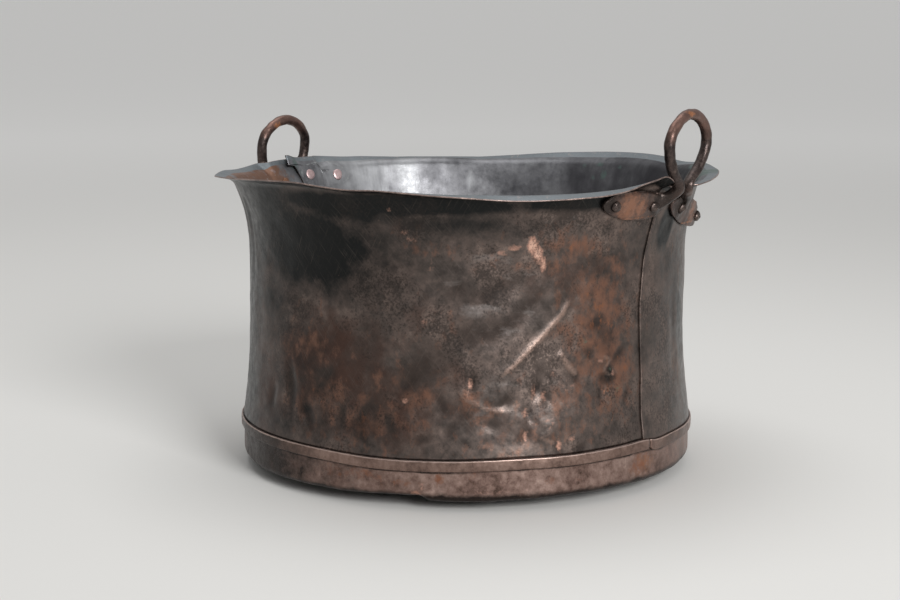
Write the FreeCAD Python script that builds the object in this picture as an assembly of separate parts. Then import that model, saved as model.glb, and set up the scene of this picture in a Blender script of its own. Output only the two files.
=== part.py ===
import FreeCAD, Part

import math
import os

# A laundry copper: a riveted and brazed wash boiler of sheet copper with two loop handles.
# Millimetres.  +Z is up, the origin is on the ground under the centre of the base, and +X
# runs through the middle of the taller handle.  Angles are degrees round +Z from +X.

# ---- body ---------------------------------------------------------------------------
sheet = 1.6                 # copper of the two wall sheets
rim_height = 365.0          # ground to the top of the flange's outer edge
waist_radius = 272.5        # outer face of the wall where it is narrowest
waist_length = 34.5         # straight part of the wall there
foot_spread = 10.5          # the wall's foot stands this much further out than the waist
flare_radius = 240.0        # long curve that opens the wall towards the rim
flare_lean = 22.0           # lean of the wall where that curve ends
rim_bend = 12.0             # tight bend from the wall into the flange
flange_width = 14.7         # from the end of that bend out to the edge
flange_rise = 6.0           # the flange climbs outwards by this angle
skirt_depth = 21.0          # the wall reaches this far down inside the pan
swage_height = 4.0          # the wall steps out to the foot over this height

# ---- seams --------------------------------------------------------------------------
seam_angle = -9.2           # outer edge of the seam beside the taller handle
lap_width = 22.0            # how far the sheets lap at each seam
fit_gap = 0.3               # clearance between pieces that lie on each other

# ---- base pan and hoop --------------------------------------------------------------
pan_sheet = 2.0
pan_corner = 9.0            # outer radius where the pan's side turns under
rest_radius = 110.0         # flat middle of the base, which it stands on
base_rise = 12.3            # the dished base climbs this far from the flat to the corner
hoop_low = 49.5
hoop_width = 12.5
hoop_thickness = 3.0
hoop_joint_angle = -4.4     # where the hoop's two ends meet
hoop_joint_gap = 0.8
pan_rim_drop = 1.0          # the pan's edge stays this far below the hoop's

# ---- handles ------------------------------------------------------------------------
bar_diameter = 13.0
leg_inset = 6.5             # from the flange's edge in to the legs where they pass it
relief_gap = 6.0            # clearance of the flange round the legs
relief_corner = 9.0
palm_thickness = 4.6
palm_half_height = 17.0
stem_swell = 0.5            # the bar is this much thicker where a leg turns into its stem
stem_tip_radius = 4.2       # the stems taper to this where they run into their palms
# Leaf outline of a palm, as shares of its length and of its half height.
palm_leaf = [(0.0, 0.0), (0.1, -0.62), (0.44, -1.0), (0.84, -0.74),
             (1.0, 0.0), (0.84, 0.74), (0.44, 1.0), (0.1, 0.62)]

# lean: how far the loop leans outwards.
# crown_rise: from the rim up to the middle of the bar at the crown.
# loop: from its crown down one side: (bend radius, turn in degrees), or (0, length)
# for a straight run.  A negative turn bends the leg back outwards.
# root: how far from the middle of the handle the legs run into their palms.
# rivets: distances of the inner and outer rivet from the middle of the handle.
# palms: first the one at smaller angles.  Each has the distance of its inner end from the
# middle of the handle, its length, the drop from the rim to its inner rivet, how much it
# climbs away from the loop, and how far above its centre line its leg runs into it.
handles = {
    "right_handle": {
        "angle": 0.0,
        "lean": 4.0,
        "crown_rise": 83.0,
        "loop": [(52.0, 50.0), (24.0, 55.0), (60.0, 35.0), (0, 12.0), (10.0, -80.0)],
        "root": 38.0,
        "rivets": (34.0, 98.0),
        "palms": [(11.5, 102.5, 22.0, 4.5, 10.5), (7.0, 109.0, 30.0, -13.0, 13.0)],
    },
    "left_handle": {
        "angle": 178.0,
        "lean": -6.0,
        "crown_rise": 53.0,
        "loop": [(49.0, 50.0), (24.0, 35.0), (60.0, 25.0), (0, 10.0)],
        "root": 44.0,
        "rivets": (25.0, 75.0),
        "palms": [(9.0, 82.0, 22.5, -3.4, 7.0), (9.0, 82.0, 30.0, -10.0, 10.0)],
    },
}

# ---- rivets -------------------------------------------------------------------------
rivet_shank = 8.0
rivet_dome = 13.5           # diameter of the domed head outside
rivet_dome_height = 5.2
rivet_head = 15.0           # diameter of the flat head inside
rivet_head_height = 1.6
rivet_hole_gap = 0.15

# ---- worked out ---------------------------------------------------------------------
Vector = FreeCAD.Vector
origin = Vector(0, 0, 0)
up = Vector(0, 0, 1)

lap_shift = (sheet + fit_gap) / 2        # each sheet's own axis stands this far off centre
lap_angle = math.degrees(lap_width / waist_radius)
foot_radius = waist_radius + foot_spread
pan_radius = foot_radius                 # the pan's side is flush with the wall's foot
skirt_radius = pan_radius - pan_sheet - fit_gap - lap_shift
hoop_top = hoop_low + hoop_width
pan_top = hoop_top - pan_rim_drop
foot_height = pan_top + swage_height
skirt_low = pan_top - skirt_depth
bar_radius = bar_diameter / 2
palm_seat = lap_shift + fit_gap          # gap from the wall's mean face to a palm
palm_face = palm_seat + palm_thickness


def sin(angle):
    return math.sin(math.radians(angle))


def cos(angle):
    return math.cos(math.radians(angle))


def polar(radius, angle, height=0.0):
    return Vector(radius * cos(angle), radius * sin(angle), height)


# The wall's outer face is three tangent arcs, all bowed towards the axis.  A point on one
# is found by the wall's lean there, so a parallel face only needs another radius.
flange_lean = 90.0 - flange_rise
bend_out = rim_bend * (cos(flare_lean) - cos(flange_lean))
bend_up = rim_bend * (sin(flange_lean) - sin(flare_lean))
flare_out = flare_radius * (1 - cos(flare_lean))
flange_radius = waist_radius + flare_out + bend_out + flange_width * sin(flange_lean)
flange_climb = flange_width * cos(flange_lean) + sheet * sin(flange_lean)
waist_high = rim_height - flange_climb - bend_up - flare_radius * sin(flare_lean)
waist_low = waist_high - waist_length
foot_rise = waist_low - foot_height
lower_radius = (foot_rise ** 2 + foot_spread ** 2) / (2 * foot_spread)
lower_lean = math.degrees(math.asin(foot_rise / lower_radius))
leg_radius = flange_radius - leg_inset

lower_centre = Vector(waist_radius + lower_radius, 0, waist_low)
flare_centre = Vector(waist_radius + flare_radius, 0, waist_high)
to_bend = (flare_radius - rim_bend) * Vector(cos(flare_lean), 0, -sin(flare_lean))
bend_centre = flare_centre - to_bend


def on_arc(centre, radius, lean):
    return centre + Vector(-radius * cos(lean), 0, radius * sin(lean))


def arc(centre, radius, lean_from, lean_to):
    middle = (lean_from + lean_to) / 2
    points = [on_arc(centre, radius, lean) for lean in (lean_from, middle, lean_to)]
    return Part.Arc(*points).toShape()


def face_between(first, second):
    """Face enclosed by two open chains of edges that run the same way."""
    ends = []
    for pick in (0, -1):
        a = first[pick].Vertexes[pick].Point
        b = second[pick].Vertexes[pick].Point
        ends.append(Part.makeLine(a, b))
    edges = Part.__sortEdges__(first + second + ends)
    return Part.Face(Part.Wire(edges))


def revolved(face, start, sweep):
    solid = face.revolve(origin, up, sweep)
    solid.rotate(origin, up, start)
    return solid


def wall_line(inset):
    """The wall from its bottom to the flange's edge, this far inside its outer face."""
    foot = on_arc(lower_centre, lower_radius + inset, -lower_lean)
    skirt = [Vector(skirt_radius - inset, 0, skirt_low),
             Vector(skirt_radius - inset, 0, foot_height - swage_height)]
    waist = [on_arc(lower_centre, lower_radius + inset, 0),
             on_arc(flare_centre, flare_radius + inset, 0)]
    brim = on_arc(bend_centre, rim_bend + inset, flange_lean)
    edge = brim + flange_width * Vector(sin(flange_lean), 0, cos(flange_lean))
    return [Part.makeLine(*skirt),
            Part.makeLine(skirt[1], foot),
            arc(lower_centre, lower_radius + inset, -lower_lean, 0),
            Part.makeLine(*waist),
            arc(flare_centre, flare_radius + inset, 0, flare_lean),
            arc(bend_centre, rim_bend + inset, flare_lean, flange_lean),
            Part.makeLine(brim, edge)]


def body_sheet(start):
    """Half of the wall.  It starts as the outer layer of one seam and ends as the inner
    layer of the other, because its axis stands off centre towards its start.  The inner
    layer stops under the rim's bend, where the outer one alone turns out to the flange."""
    solid = revolved(face_between(wall_line(0), wall_line(sheet)), start, 180 + lap_angle)
    bend_start = on_arc(bend_centre, rim_bend, flare_lean).z
    slot = math.degrees(fit_gap / flange_radius)
    trim = Part.makeCylinder(2 * flange_radius, 2 * rim_height, Vector(0, 0, bend_start), up,
                             lap_angle + 2 * slot)
    trim.rotate(origin, up, start + 180 - slot)
    solid = solid.cut(trim)
    solid.translate(polar(lap_shift, start))
    return solid


def dished_line(inset):
    """The base pan from the middle of the base out and up to its edge."""
    dish_radius = ((pan_radius - pan_corner - rest_radius) ** 2 + base_rise ** 2) / (2 * base_rise)
    dish_centre = Vector(rest_radius, 0, dish_radius)
    across = pan_radius - pan_corner - rest_radius
    corner_lift = dish_radius - math.sqrt((dish_radius - pan_corner) ** 2 - across ** 2)
    corner_centre = Vector(pan_radius - pan_corner, 0, corner_lift)
    out = (corner_centre - dish_centre).normalize()
    slant = math.degrees(math.atan2(out.x, -out.z))

    def turn(centre, radius, angle):
        return centre + Vector(radius * sin(angle), 0, -radius * cos(angle))

    def bowl_arc(centre, radius, first, last):
        points = [turn(centre, radius, a) for a in (first, (first + last) / 2, last)]
        return Part.Arc(*points).toShape()

    middle = Vector(0, 0, inset)
    flat_end = turn(dish_centre, dish_radius - inset, 0)
    side = turn(corner_centre, pan_corner - inset, 90)
    return [Part.makeLine(middle, flat_end),
            bowl_arc(dish_centre, dish_radius - inset, 0, slant),
            bowl_arc(corner_centre, pan_corner - inset, slant, 90),
            Part.makeLine(side, Vector(side.x, 0, pan_top))]


def base_pan():
    return revolved(face_between(dished_line(0), dished_line(pan_sheet)), 0, 360)


def base_hoop():
    inner = pan_radius + fit_gap
    outer = inner + hoop_thickness
    corners = [(inner, hoop_low), (outer, hoop_low), (outer, hoop_top), (inner, hoop_top)]
    points = [Vector(r, 0, z) for r, z in corners]
    face = Part.Face(Part.makePolygon(points + points[:1]))
    opening = math.degrees(hoop_joint_gap / inner)
    return revolved(face, hoop_joint_angle + opening / 2, 360 - opening)


def loop_path(handle):
    """Edges of one half of the loop's centre line, its end point and its end direction."""
    upright = Vector(sin(handle["lean"]), 0, cos(handle["lean"]))
    sideways = Vector(0, 1, 0)
    foot = Vector(leg_radius, 0, rim_height)
    rise = handle["crown_rise"] / cos(handle["lean"])
    place = foot + rise * upright
    heading = 0.0
    edges = []

    def ahead(angle):
        return cos(angle) * sideways - sin(angle) * upright

    for radius, amount in handle["loop"]:
        if radius == 0:
            after = place + amount * ahead(heading)
            edges.append(Part.makeLine(place, after))
        else:
            side = math.copysign(radius, amount)
            centre = place + side * ahead(heading + 90)
            points = [centre - side * ahead(heading + share * amount + 90) for share in (0, 0.5, 1)]
            edges.append(Part.Arc(*points).toShape())
            heading += amount
            after = points[-1]
        place = after
    return edges, place


def palm_sizes(handle, side):
    return handle["palms"][0 if side < 0 else 1]


def palm_line(handle, side, distance):
    """Height of a palm's centre line at a distance from the middle of the handle."""
    drop, climb = palm_sizes(handle, side)[2:4]
    past_rivet = distance - handle["rivets"][0]
    return rim_height - drop + past_rivet * math.tan(math.radians(climb))


def wall_face(distance, height, proud):
    """Point and outward direction on a face that stands this far proud of the flare."""
    radius = flare_radius - proud
    lean = math.degrees(math.asin((height - waist_high) / radius))
    reach = flare_centre.x - radius * cos(lean)
    angle = math.degrees(math.asin(distance / reach))
    outward = polar(cos(lean), angle, -sin(lean))
    return polar(reach, angle, height), outward


def palm_band():
    """The shell that the palms are cut from: it follows the flare, clear of both layers."""
    inner = arc(flare_centre, flare_radius - palm_seat, 0, flare_lean)
    outer = arc(flare_centre, flare_radius - palm_face, 0, flare_lean)
    return revolved(face_between([inner], [outer]), -90, 180)


def palm(handle, side):
    start, length = palm_sizes(handle, side)[:2]
    points = []
    for along, across in palm_leaf:
        distance = start + along * length
        height = palm_line(handle, side, distance) + across * palm_half_height
        points.append(Vector(waist_radius / 2, side * distance, height))
    leaf = Part.BSplineCurve()
    leaf.interpolate(points, PeriodicFlag=True)
    prism = Part.Face(Part.Wire(leaf.toShape())).extrude(Vector(waist_radius, 0, 0))
    return palm_band().common(prism)


def inside_wall():
    """Everything within the palms' inner faces, which no part of a handle enters."""
    edge = [arc(flare_centre, flare_radius - palm_seat, 0, flare_lean),
            arc(bend_centre, rim_bend - palm_seat, flare_lean, flange_lean)]
    heights = [edge[0].Vertexes[0].Point.z, edge[-1].Vertexes[-1].Point.z]
    axis = Part.makeLine(*[Vector(0, 0, z) for z in heights])
    return revolved(face_between(edge, [axis]), 0, 360)


def handle_solid(handle):
    """A bar bent to a loop, with its two ends forged into palms that lie on the wall."""
    edges, leg_end = loop_path(handle)
    crown = edges[0].Vertexes[0].Point
    ring = Part.Wire(Part.makeCircle(bar_radius, crown, Vector(0, 1, 0)))
    half = Part.Wire(edges).makePipeShell([ring], True, False)
    pieces = [half, half.mirror(origin, Vector(0, 1, 0))]
    for side in (-1, 1):
        top = Vector(leg_end.x, side * leg_end.y, leg_end.z)
        distance = handle["root"]
        height = palm_line(handle, side, distance) + palm_sizes(handle, side)[4]
        root = wall_face(side * distance, height, palm_seat + palm_thickness / 2)[0]
        stem = root - top
        pieces.append(Part.makeSphere(bar_radius + stem_swell, top))
        pieces.append(Part.makeCone(bar_radius, stem_tip_radius, stem.Length, top, stem))
        pieces.append(palm(handle, side))
    solid = pieces[0].fuse(pieces[1:]).cut(inside_wall())
    solid = solid.removeSplitter()
    return max(solid.Solids, key=lambda s: s.Volume)


def relief(handle):
    """What the flange is trimmed by, so that the legs stand clear of it."""
    path = Part.Wire(loop_path(handle)[0]).discretize(200)
    beside_flange = [p for p in path if p.z < rim_height + bar_radius]
    inner = min(p.x for p in beside_flange) - bar_radius - relief_gap
    half_width = max(p.y for p in beside_flange) + bar_radius + relief_gap
    depth = flange_radius - inner + 2 * relief_corner
    low = rim_height - 2 * rim_bend
    box = Part.makeBox(depth, 2 * half_width, 4 * rim_bend, Vector(inner, -half_width, low))
    upright = [e for e in box.Edges if abs(e.tangentAt(e.FirstParameter).z) > 0.5]
    inner_edges = [e for e in upright if e.CenterOfMass.x < inner + relief_corner]
    return box.makeFillet(relief_corner, inner_edges)


def inner_layer(angle):
    """How far the innermost sheet at this angle stands out from the wall's mean face."""
    past_seam = (angle - seam_angle) % 360
    on_rear = lap_angle < past_seam < 180 + lap_angle
    outer_end = seam_angle if on_rear else seam_angle + 180
    return lap_shift * cos(angle - outer_end)


def rivet_solid(grip):
    """A rivet on +Z: its dome sits on the plane z=0 and its flat head at -grip."""
    edge = rivet_dome / 2
    ball = (edge ** 2 + rivet_dome_height ** 2) / (2 * rivet_dome_height)
    halfway = math.degrees(math.asin(edge / ball)) / 2
    dome = Part.Arc(Vector(edge, 0, 0),
                    Vector(ball * sin(halfway), 0, rivet_dome_height - ball * (1 - cos(halfway))),
                    Vector(0, 0, rivet_dome_height)).toShape()
    corners = [(0, rivet_dome_height), (0, -grip - rivet_head_height),
               (rivet_head / 2, -grip - rivet_head_height), (rivet_head / 2, -grip),
               (rivet_shank / 2, -grip), (rivet_shank / 2, 0), (edge, 0)]
    points = [Vector(r, 0, z) for r, z in corners]
    lines = [Part.makeLine(a, b) for a, b in zip(points, points[1:])]
    face = Part.Face(Part.Wire(Part.__sortEdges__(lines + [dome])))
    return face.revolve(origin, up, 360)


def aimed(solid, point, outward):
    solid = solid.copy()
    solid.Placement = FreeCAD.Placement(point, FreeCAD.Rotation(up, outward))
    return solid


def rivets_and_holes(name, handle):
    """The four rivets of a handle by name, and the drills for their holes."""
    rivets = {}
    drills = []
    for side, side_name in ((-1, "a"), (1, "b")):
        for distance, place_name in zip(handle["rivets"], ("inner", "outer")):
            height = palm_line(handle, side, distance)
            face = wall_face(side * distance, height, palm_face + fit_gap)
            angle = math.degrees(math.atan2(face[0].y, face[0].x)) + handle["angle"]
            grip = palm_face + 2 * fit_gap + sheet - inner_layer(angle)
            rivet = aimed(rivet_solid(grip), *face)
            drill = Part.makeCylinder(rivet_shank / 2 + rivet_hole_gap, 6 * rivet_shank,
                                      Vector(0, 0, -3 * rivet_shank))
            rivets["_".join([name, "rivet", side_name, place_name])] = rivet
            drills.append(aimed(drill, *face))
    return rivets, drills


def build():
    nodes = {"front_body_sheet": body_sheet(seam_angle + 180),
             "rear_body_sheet": body_sheet(seam_angle),
             "base_pan": base_pan(),
             "base_hoop": base_hoop()}
    for name, handle in handles.items():
        rivets, drills = rivets_and_holes(name, handle)
        solid = handle_solid(handle).cut(drills)
        trims = [relief(handle)] + drills
        for shape in [solid] + trims + list(rivets.values()):
            shape.rotate(origin, up, handle["angle"])
        for sheet_name in ("front_body_sheet", "rear_body_sheet"):
            nodes[sheet_name] = nodes[sheet_name].cut(trims)
        nodes[name] = solid
        nodes.update(rivets)
    return nodes


os.makedirs("parts", exist_ok=True)
for node, shape in build().items():
    solids = shape.Solids
    shape = solids[0] if len(solids) == 1 else Part.makeCompound(solids)
    shape.exportStep(f"parts/{node}.step")
    box = shape.optimalBoundingBox()
    print(f"{node}: {len(solids)} solid, valid {shape.isValid()}, volume {shape.Volume:.0f},"
          f" x {box.XMin:.1f} {box.XMax:.1f}, y {box.YMin:.1f} {box.YMax:.1f},"
          f" z {box.ZMin:.1f} {box.ZMax:.1f}")
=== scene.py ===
import math

import bpy
import numpy as np
from mathutils import Euler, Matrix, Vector, noise


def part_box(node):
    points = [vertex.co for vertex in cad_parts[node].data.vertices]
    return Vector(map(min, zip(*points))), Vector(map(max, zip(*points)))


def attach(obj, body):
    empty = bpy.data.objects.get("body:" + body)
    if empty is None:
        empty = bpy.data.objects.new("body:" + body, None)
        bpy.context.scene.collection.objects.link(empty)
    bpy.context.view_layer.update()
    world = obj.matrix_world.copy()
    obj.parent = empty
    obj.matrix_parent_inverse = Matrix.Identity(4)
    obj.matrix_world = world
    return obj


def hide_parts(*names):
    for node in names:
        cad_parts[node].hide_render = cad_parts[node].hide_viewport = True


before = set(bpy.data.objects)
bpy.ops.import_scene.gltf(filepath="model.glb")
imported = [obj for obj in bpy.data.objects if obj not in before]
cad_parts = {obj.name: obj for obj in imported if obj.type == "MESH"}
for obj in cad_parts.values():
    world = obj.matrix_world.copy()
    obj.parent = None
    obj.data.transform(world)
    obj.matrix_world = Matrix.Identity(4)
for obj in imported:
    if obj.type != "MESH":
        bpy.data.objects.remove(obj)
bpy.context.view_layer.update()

# An old wash copper: a wall of two lapped copper sheets, a base pan bound by a hoop, and two
# forged loop handles.  Metres.  Angles go round +Z from +X, the side of the taller handle.

mm = 0.001


# ---- the camera, as the photograph was taken ----------------------------------------

CAMERA_DISTANCE = 2387.3 * mm      # on the ground, from the vessel's axis
CAMERA_HEIGHT = 585.1 * mm
CAMERA_AZIMUTH = 34.3              # degrees from -Y towards +X
CAMERA_PITCH = -9.138
CAMERA_YAW = 0.4963                # how far it looks to the left of the axis
CAMERA_LENS = 76.0                 # millimetres
CAMERA_SENSOR = 36.0               # millimetres wide


def placed(name, data):
    """A new object in the scene that holds this data."""
    made = bpy.data.objects.new(name, data)
    bpy.context.scene.collection.objects.link(made)
    return made


def set_camera():
    """Puts the camera where the photograph was taken from."""
    data = bpy.data.cameras.new("camera")
    data.lens = CAMERA_LENS
    data.sensor_width = CAMERA_SENSOR
    camera = placed("camera", data)
    around = math.radians(CAMERA_AZIMUTH)
    camera.location = (CAMERA_DISTANCE * math.sin(around), -CAMERA_DISTANCE * math.cos(around),
                       CAMERA_HEIGHT)
    camera.rotation_euler = Euler((math.radians(90 + CAMERA_PITCH), 0,
                                   math.radians(CAMERA_AZIMUTH + CAMERA_YAW)))
    bpy.context.scene.camera = camera


set_camera()
bpy.context.scene.view_settings.view_transform = "Standard"


# ---- sizes, from the frame ----------------------------------------------------------

WALL_LOW, WALL_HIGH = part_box("rear_body_sheet")
PAN_LOW, PAN_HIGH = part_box("base_pan")
HOOP_LOW, HOOP_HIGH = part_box("base_hoop")

SHEET = 1.6 * mm
LAP_GAP = 0.3 * mm
LAP_SHIFT = (SHEET + LAP_GAP) / 2          # an outer layer stands this far out, an inner one in
FLANGE_RADIUS = WALL_HIGH.y
SKIRT_LOW = WALL_LOW.z
FOOT_RADIUS = PAN_HIGH.x
PAN_TOP = PAN_HIGH.z
PAN_SHEET = 2.0 * mm
SKIRT_RADIUS = FOOT_RADIUS - PAN_SHEET - LAP_GAP - LAP_SHIFT
SWAGE = 1.3 * mm                           # height over which the wall steps out of the pan
FOOT_HEIGHT = PAN_TOP + SWAGE
FOOT_SPREAD = 10.5 * mm                    # the foot stands this much further out than the waist
WAIST_RADIUS = FOOT_RADIUS - FOOT_SPREAD
WAIST_LOW = 230 * mm
WAIST_HIGH = 264.5 * mm
FLARE_RADIUS = 240 * mm
FLARE_LEAN = math.radians(22)
FLARE_TOP = WAIST_HIGH + FLARE_RADIUS * math.sin(FLARE_LEAN)
FLARE_REACH = WAIST_RADIUS + FLARE_RADIUS * (1 - math.cos(FLARE_LEAN))
RIM_BEND = 12 * mm
FLANGE_LENGTH = 27.7 * mm                  # round the bend and out to the edge

SEAM_LAP = 4.6                             # degrees
SEAM_START = -9.2                          # the rear sheet's outer end
RIGHT_HANDLE = 0.0                         # degrees
LEFT_HANDLE = 178.0

# The rim is bent by years of use: angle, height of its edge (mm) and how it climbs outwards.
RIM_LINE = [
    (-141, 361.8, 12), (-130, 365.3, 10), (-120, 368.7, 11), (-110, 371.8, 13), (-101, 373.7, 14),
    (-92, 373.7, 13), (-86.5, 371.3, 10), (-82, 369.3, 9), (-74, 369.2, 7), (-66, 366.3, 3),
    (-56, 362.7, -6), (-46, 359.1, -21), (-40, 358.6, -22), (-31, 359.8, -16), (-25, 361.4, -12),
    (-20, 365, 0), (-15.2, 371, 14), (-11.4, 374.3, 22), (-7.8, 376.3, 26), (-3.6, 364, 26),
    (0, 361.5, 26), (3.6, 363.5, 22), (13, 365.5, 12), (26, 368, 8), (38, 368, 5), (46, 369, 5),
    (52, 367.7, 11), (59, 366.2, 22), (66, 369.3, 26), (77, 370, 28), (85, 368.7, 33),
    (93, 366.3, 30), (100, 364, 26), (110, 359.3, 17), (121, 355.5, 8), (131, 355.4, 1),
    (142, 356.2, 5), (152, 359, 18), (158, 360, 24), (164, 362.3, 26), (169, 364.7, 48),
    (178, 365.2, 55), (186, 364, 52), (191, 360.5, 24), (197, 358.5, 18), (206, 361.3, 16)]

# Notches in the flange for the handles' legs: middle, half width in mm, what is left in mm.
NOTCHES = [(RIGHT_HANDLE, 26, 11), (LEFT_HANDLE, 51, 13.1)]
NOTCH_CORNER = 9                           # mm

# The rim's bends reach down the wall to here, and are whole at the second height.
LIFT_LOW, LIFT_HIGH = 270 * mm, FLARE_TOP + 4 * mm
DROP_FADE = 110 * mm                       # the hoop's dips die out in the wall by this height

# The seam beside the right handle slants: height and angle of the outer sheet's edge.
SEAM_LINE = [(0, -8.2), (64, -8.0), (136, -7.6), (230, -7.2), (322, -4.6), (380, -4.2)]
# The rear sheet's other end lies inside, and its torn corner reaches on past it at the rim.
INNER_END_LINE = [(0, 176.4), (300, 176.0), (333, 176.0), (351, 178.2), (365, 180.8),
                  (380, 181.6)]
TEAR_WIDTH = 6.0                           # degrees of the torn corner that curl inwards
TEAR_LOW, TEAR_HIGH = 330 * mm, 370 * mm
TEAR_CURL = 6.5 * mm
TEAR_RISE = 2.0 * mm

# The hoop dips and rises round the base: angle and height of its top edge in mm.
HOOP_LINE = [(-125, 62), (-90, 62), (-78, 60.2), (-66, 60.2), (-54, 61.2), (-46, 62.2),
             (-30, 62.3), (-16, 63.6), (-6, 63.6), (-4, 62.0), (5, 61.9), (21, 60.3), (30, 59.6),
             (60, 61), (120, 62), (190, 61.5)]


# ---- small tools --------------------------------------------------------------------

def smooth(x, low, high):
    """0 below low, 1 above high, and an even S between them."""
    t = np.clip((x - low) / (high - low), 0, 1)
    return t * t * (3 - 2 * t)


def line_through(points, x):
    """A smooth line through points of (x, value), level past its ends."""
    xs, ys = np.array(points, float).T
    slopes = np.gradient(ys, xs)
    slopes[0] = slopes[-1] = 0
    x = np.clip(x, xs[0], xs[-1])
    i = np.clip(np.searchsorted(xs, x) - 1, 0, len(xs) - 2)
    width = xs[i + 1] - xs[i]
    t = (x - xs[i]) / width
    return ((2 * t**3 - 3 * t**2 + 1) * ys[i] + (t**3 - 2 * t**2 + t) * width * slopes[i]
            + (3 * t**2 - 2 * t**3) * ys[i + 1] + (t**3 - t**2) * width * slopes[i + 1])


def round_line(points, angle):
    """The same, closed round the vessel: points of (degrees, value)."""
    points = [tuple(p) for p in points]
    before = [(a - 360, v) for a, v in points[-3:]]
    after = [(a + 360, v) for a, v in points[:3]]
    first = points[0][0]
    return line_through(before + points + after, (np.asarray(angle) - first) % 360 + first)


def turned(angle, middle):
    """How far an angle lies from a middle, in degrees from -180 to 180."""
    return (angle - middle + 180) % 360 - 180


def mm_across(angle, middle, radius=WAIST_RADIUS):
    """How far round the vessel an angle lies from a middle, in mm at a radius."""
    return np.radians(turned(angle, middle)) * radius / mm


def lumps(points, size, seed):
    """Soft random lumps between about -1 and 1, each about this size, at every point."""
    shift = Vector((seed * 17.3, seed * 5.1, seed * 11.7))
    return np.array([noise.noise(Vector(p) / size + shift) for p in points.reshape(-1, 3)]
                    ).reshape(points.shape[:-1]) * 1.6


def beaten_by(points, blows):
    """How far a beaten face stands out at every point.  Each size of blow has its height and
    its width in mm, and a seed."""
    return sum(height * lumps(points, width * mm, seed) for height, width, seed in blows) * mm


def polar_points(radius, angle, z):
    """Points from a radius, an angle in degrees and a height."""
    turn = np.radians(angle)
    return np.stack([radius * np.cos(turn), radius * np.sin(turn), z], axis=-1)


def grid_normals(points):
    """Outward directions of a grid whose rows climb and whose columns go round +Z."""
    normals = np.cross(np.gradient(points, axis=1), np.gradient(points, axis=0))
    return normals / np.linalg.norm(normals, axis=-1, keepdims=True)


def new_piece(name, points, faces, kinds=None):
    """A smooth piece of these points and faces; kinds gives each face its finish's number."""
    mesh = bpy.data.meshes.new(name)
    corners = [tuple(int(v) for v in face) for face in faces]
    mesh.from_pydata(points.reshape(-1, 3).tolist(), [], corners)
    if kinds is not None:
        mesh.polygons.foreach_set("material_index", kinds)
    mesh.polygons.foreach_set("use_smooth", [True] * len(faces))
    return placed(name, mesh)


def store(piece, marks, place=slice(None)):
    """Keeps the number that each mark has at each vertex, for the materials to read."""
    for name, values in marks.items():
        attribute = piece.data.attributes.new(name, "FLOAT", "POINT")
        attribute.data.foreach_set("value", values[place].astype(np.float32).ravel())


def store_flat_sheet(piece, across, up):
    """Keeps where each vertex lay while the sheet was flat, in metres, as a UV map."""
    layer = piece.data.uv_layers.new(name="flat_sheet")
    corners = np.empty(len(piece.data.loops), np.int32)
    piece.data.loops.foreach_get("vertex_index", corners)
    pairs = np.stack([np.ravel(across), np.ravel(up)], axis=-1)[corners]
    layer.data.foreach_set("uv", pairs.astype(np.float32).ravel())


def stands_for(piece, node):
    """Lets a piece replace its CAD node."""
    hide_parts(node)
    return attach(piece, "root")


def patches(angle, z, places):
    """How strongly a set of patches marks each point.  A place is an angle, a height, a half
    width and half height in mm, and a strength."""
    found = np.zeros(np.broadcast(angle, z).shape)
    for middle, height, half_width, half_height, strength in places:
        across = mm_across(angle, middle) / half_width
        above = (z / mm - height) / half_height
        found = np.maximum(found, strength * np.exp(-across**2 - above**2))
    return found


def marked(kinds, angle, z):
    """How strongly each kind of mark shows at each point, from its patches."""
    return {mark: patches(angle, z, places) for mark, places in kinds.items()}


# ---- the wall -----------------------------------------------------------------------

SKIRT_ROWS = 6
SWAGE_ROWS = 4
FACE_ROWS = 106
RIM_ROWS = 26
WALL_COLUMNS = 320
RIM_LEVEL = FLARE_TOP + 14 * mm            # where the sheets' edges are read for the rim's rows


def hoop_drop(angle):
    """How far the hoop and the pan's edge lie below their even height."""
    return HOOP_HIGH.z - round_line(HOOP_LINE, angle) * mm


def wall_heights():
    """Heights of the rows from the wall's bottom to the end of its flare."""
    parts = [np.linspace(SKIRT_LOW, PAN_TOP, SKIRT_ROWS)[:-1],
             np.linspace(PAN_TOP, FOOT_HEIGHT, SWAGE_ROWS)[:-1],
             np.linspace(FOOT_HEIGHT, FLARE_TOP, FACE_ROWS)]
    return np.concatenate(parts)


def wall_radius(z):
    """Radius of the wall's mean face below the rim's bend."""
    foot_rise = WAIST_LOW - FOOT_HEIGHT
    lower = (FOOT_RADIUS - WAIST_RADIUS) * (np.clip(WAIST_LOW - z, 0, foot_rise) / foot_rise) ** 2
    lean = np.arcsin(np.clip((z - WAIST_HIGH) / FLARE_RADIUS, 0, math.sin(FLARE_LEAN)))
    radius = WAIST_RADIUS + lower + FLARE_RADIUS * (1 - np.cos(lean))
    skirt = 1 - smooth(z, PAN_TOP, FOOT_HEIGHT)
    return radius + skirt * (SKIRT_RADIUS - FOOT_RADIUS)


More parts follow.
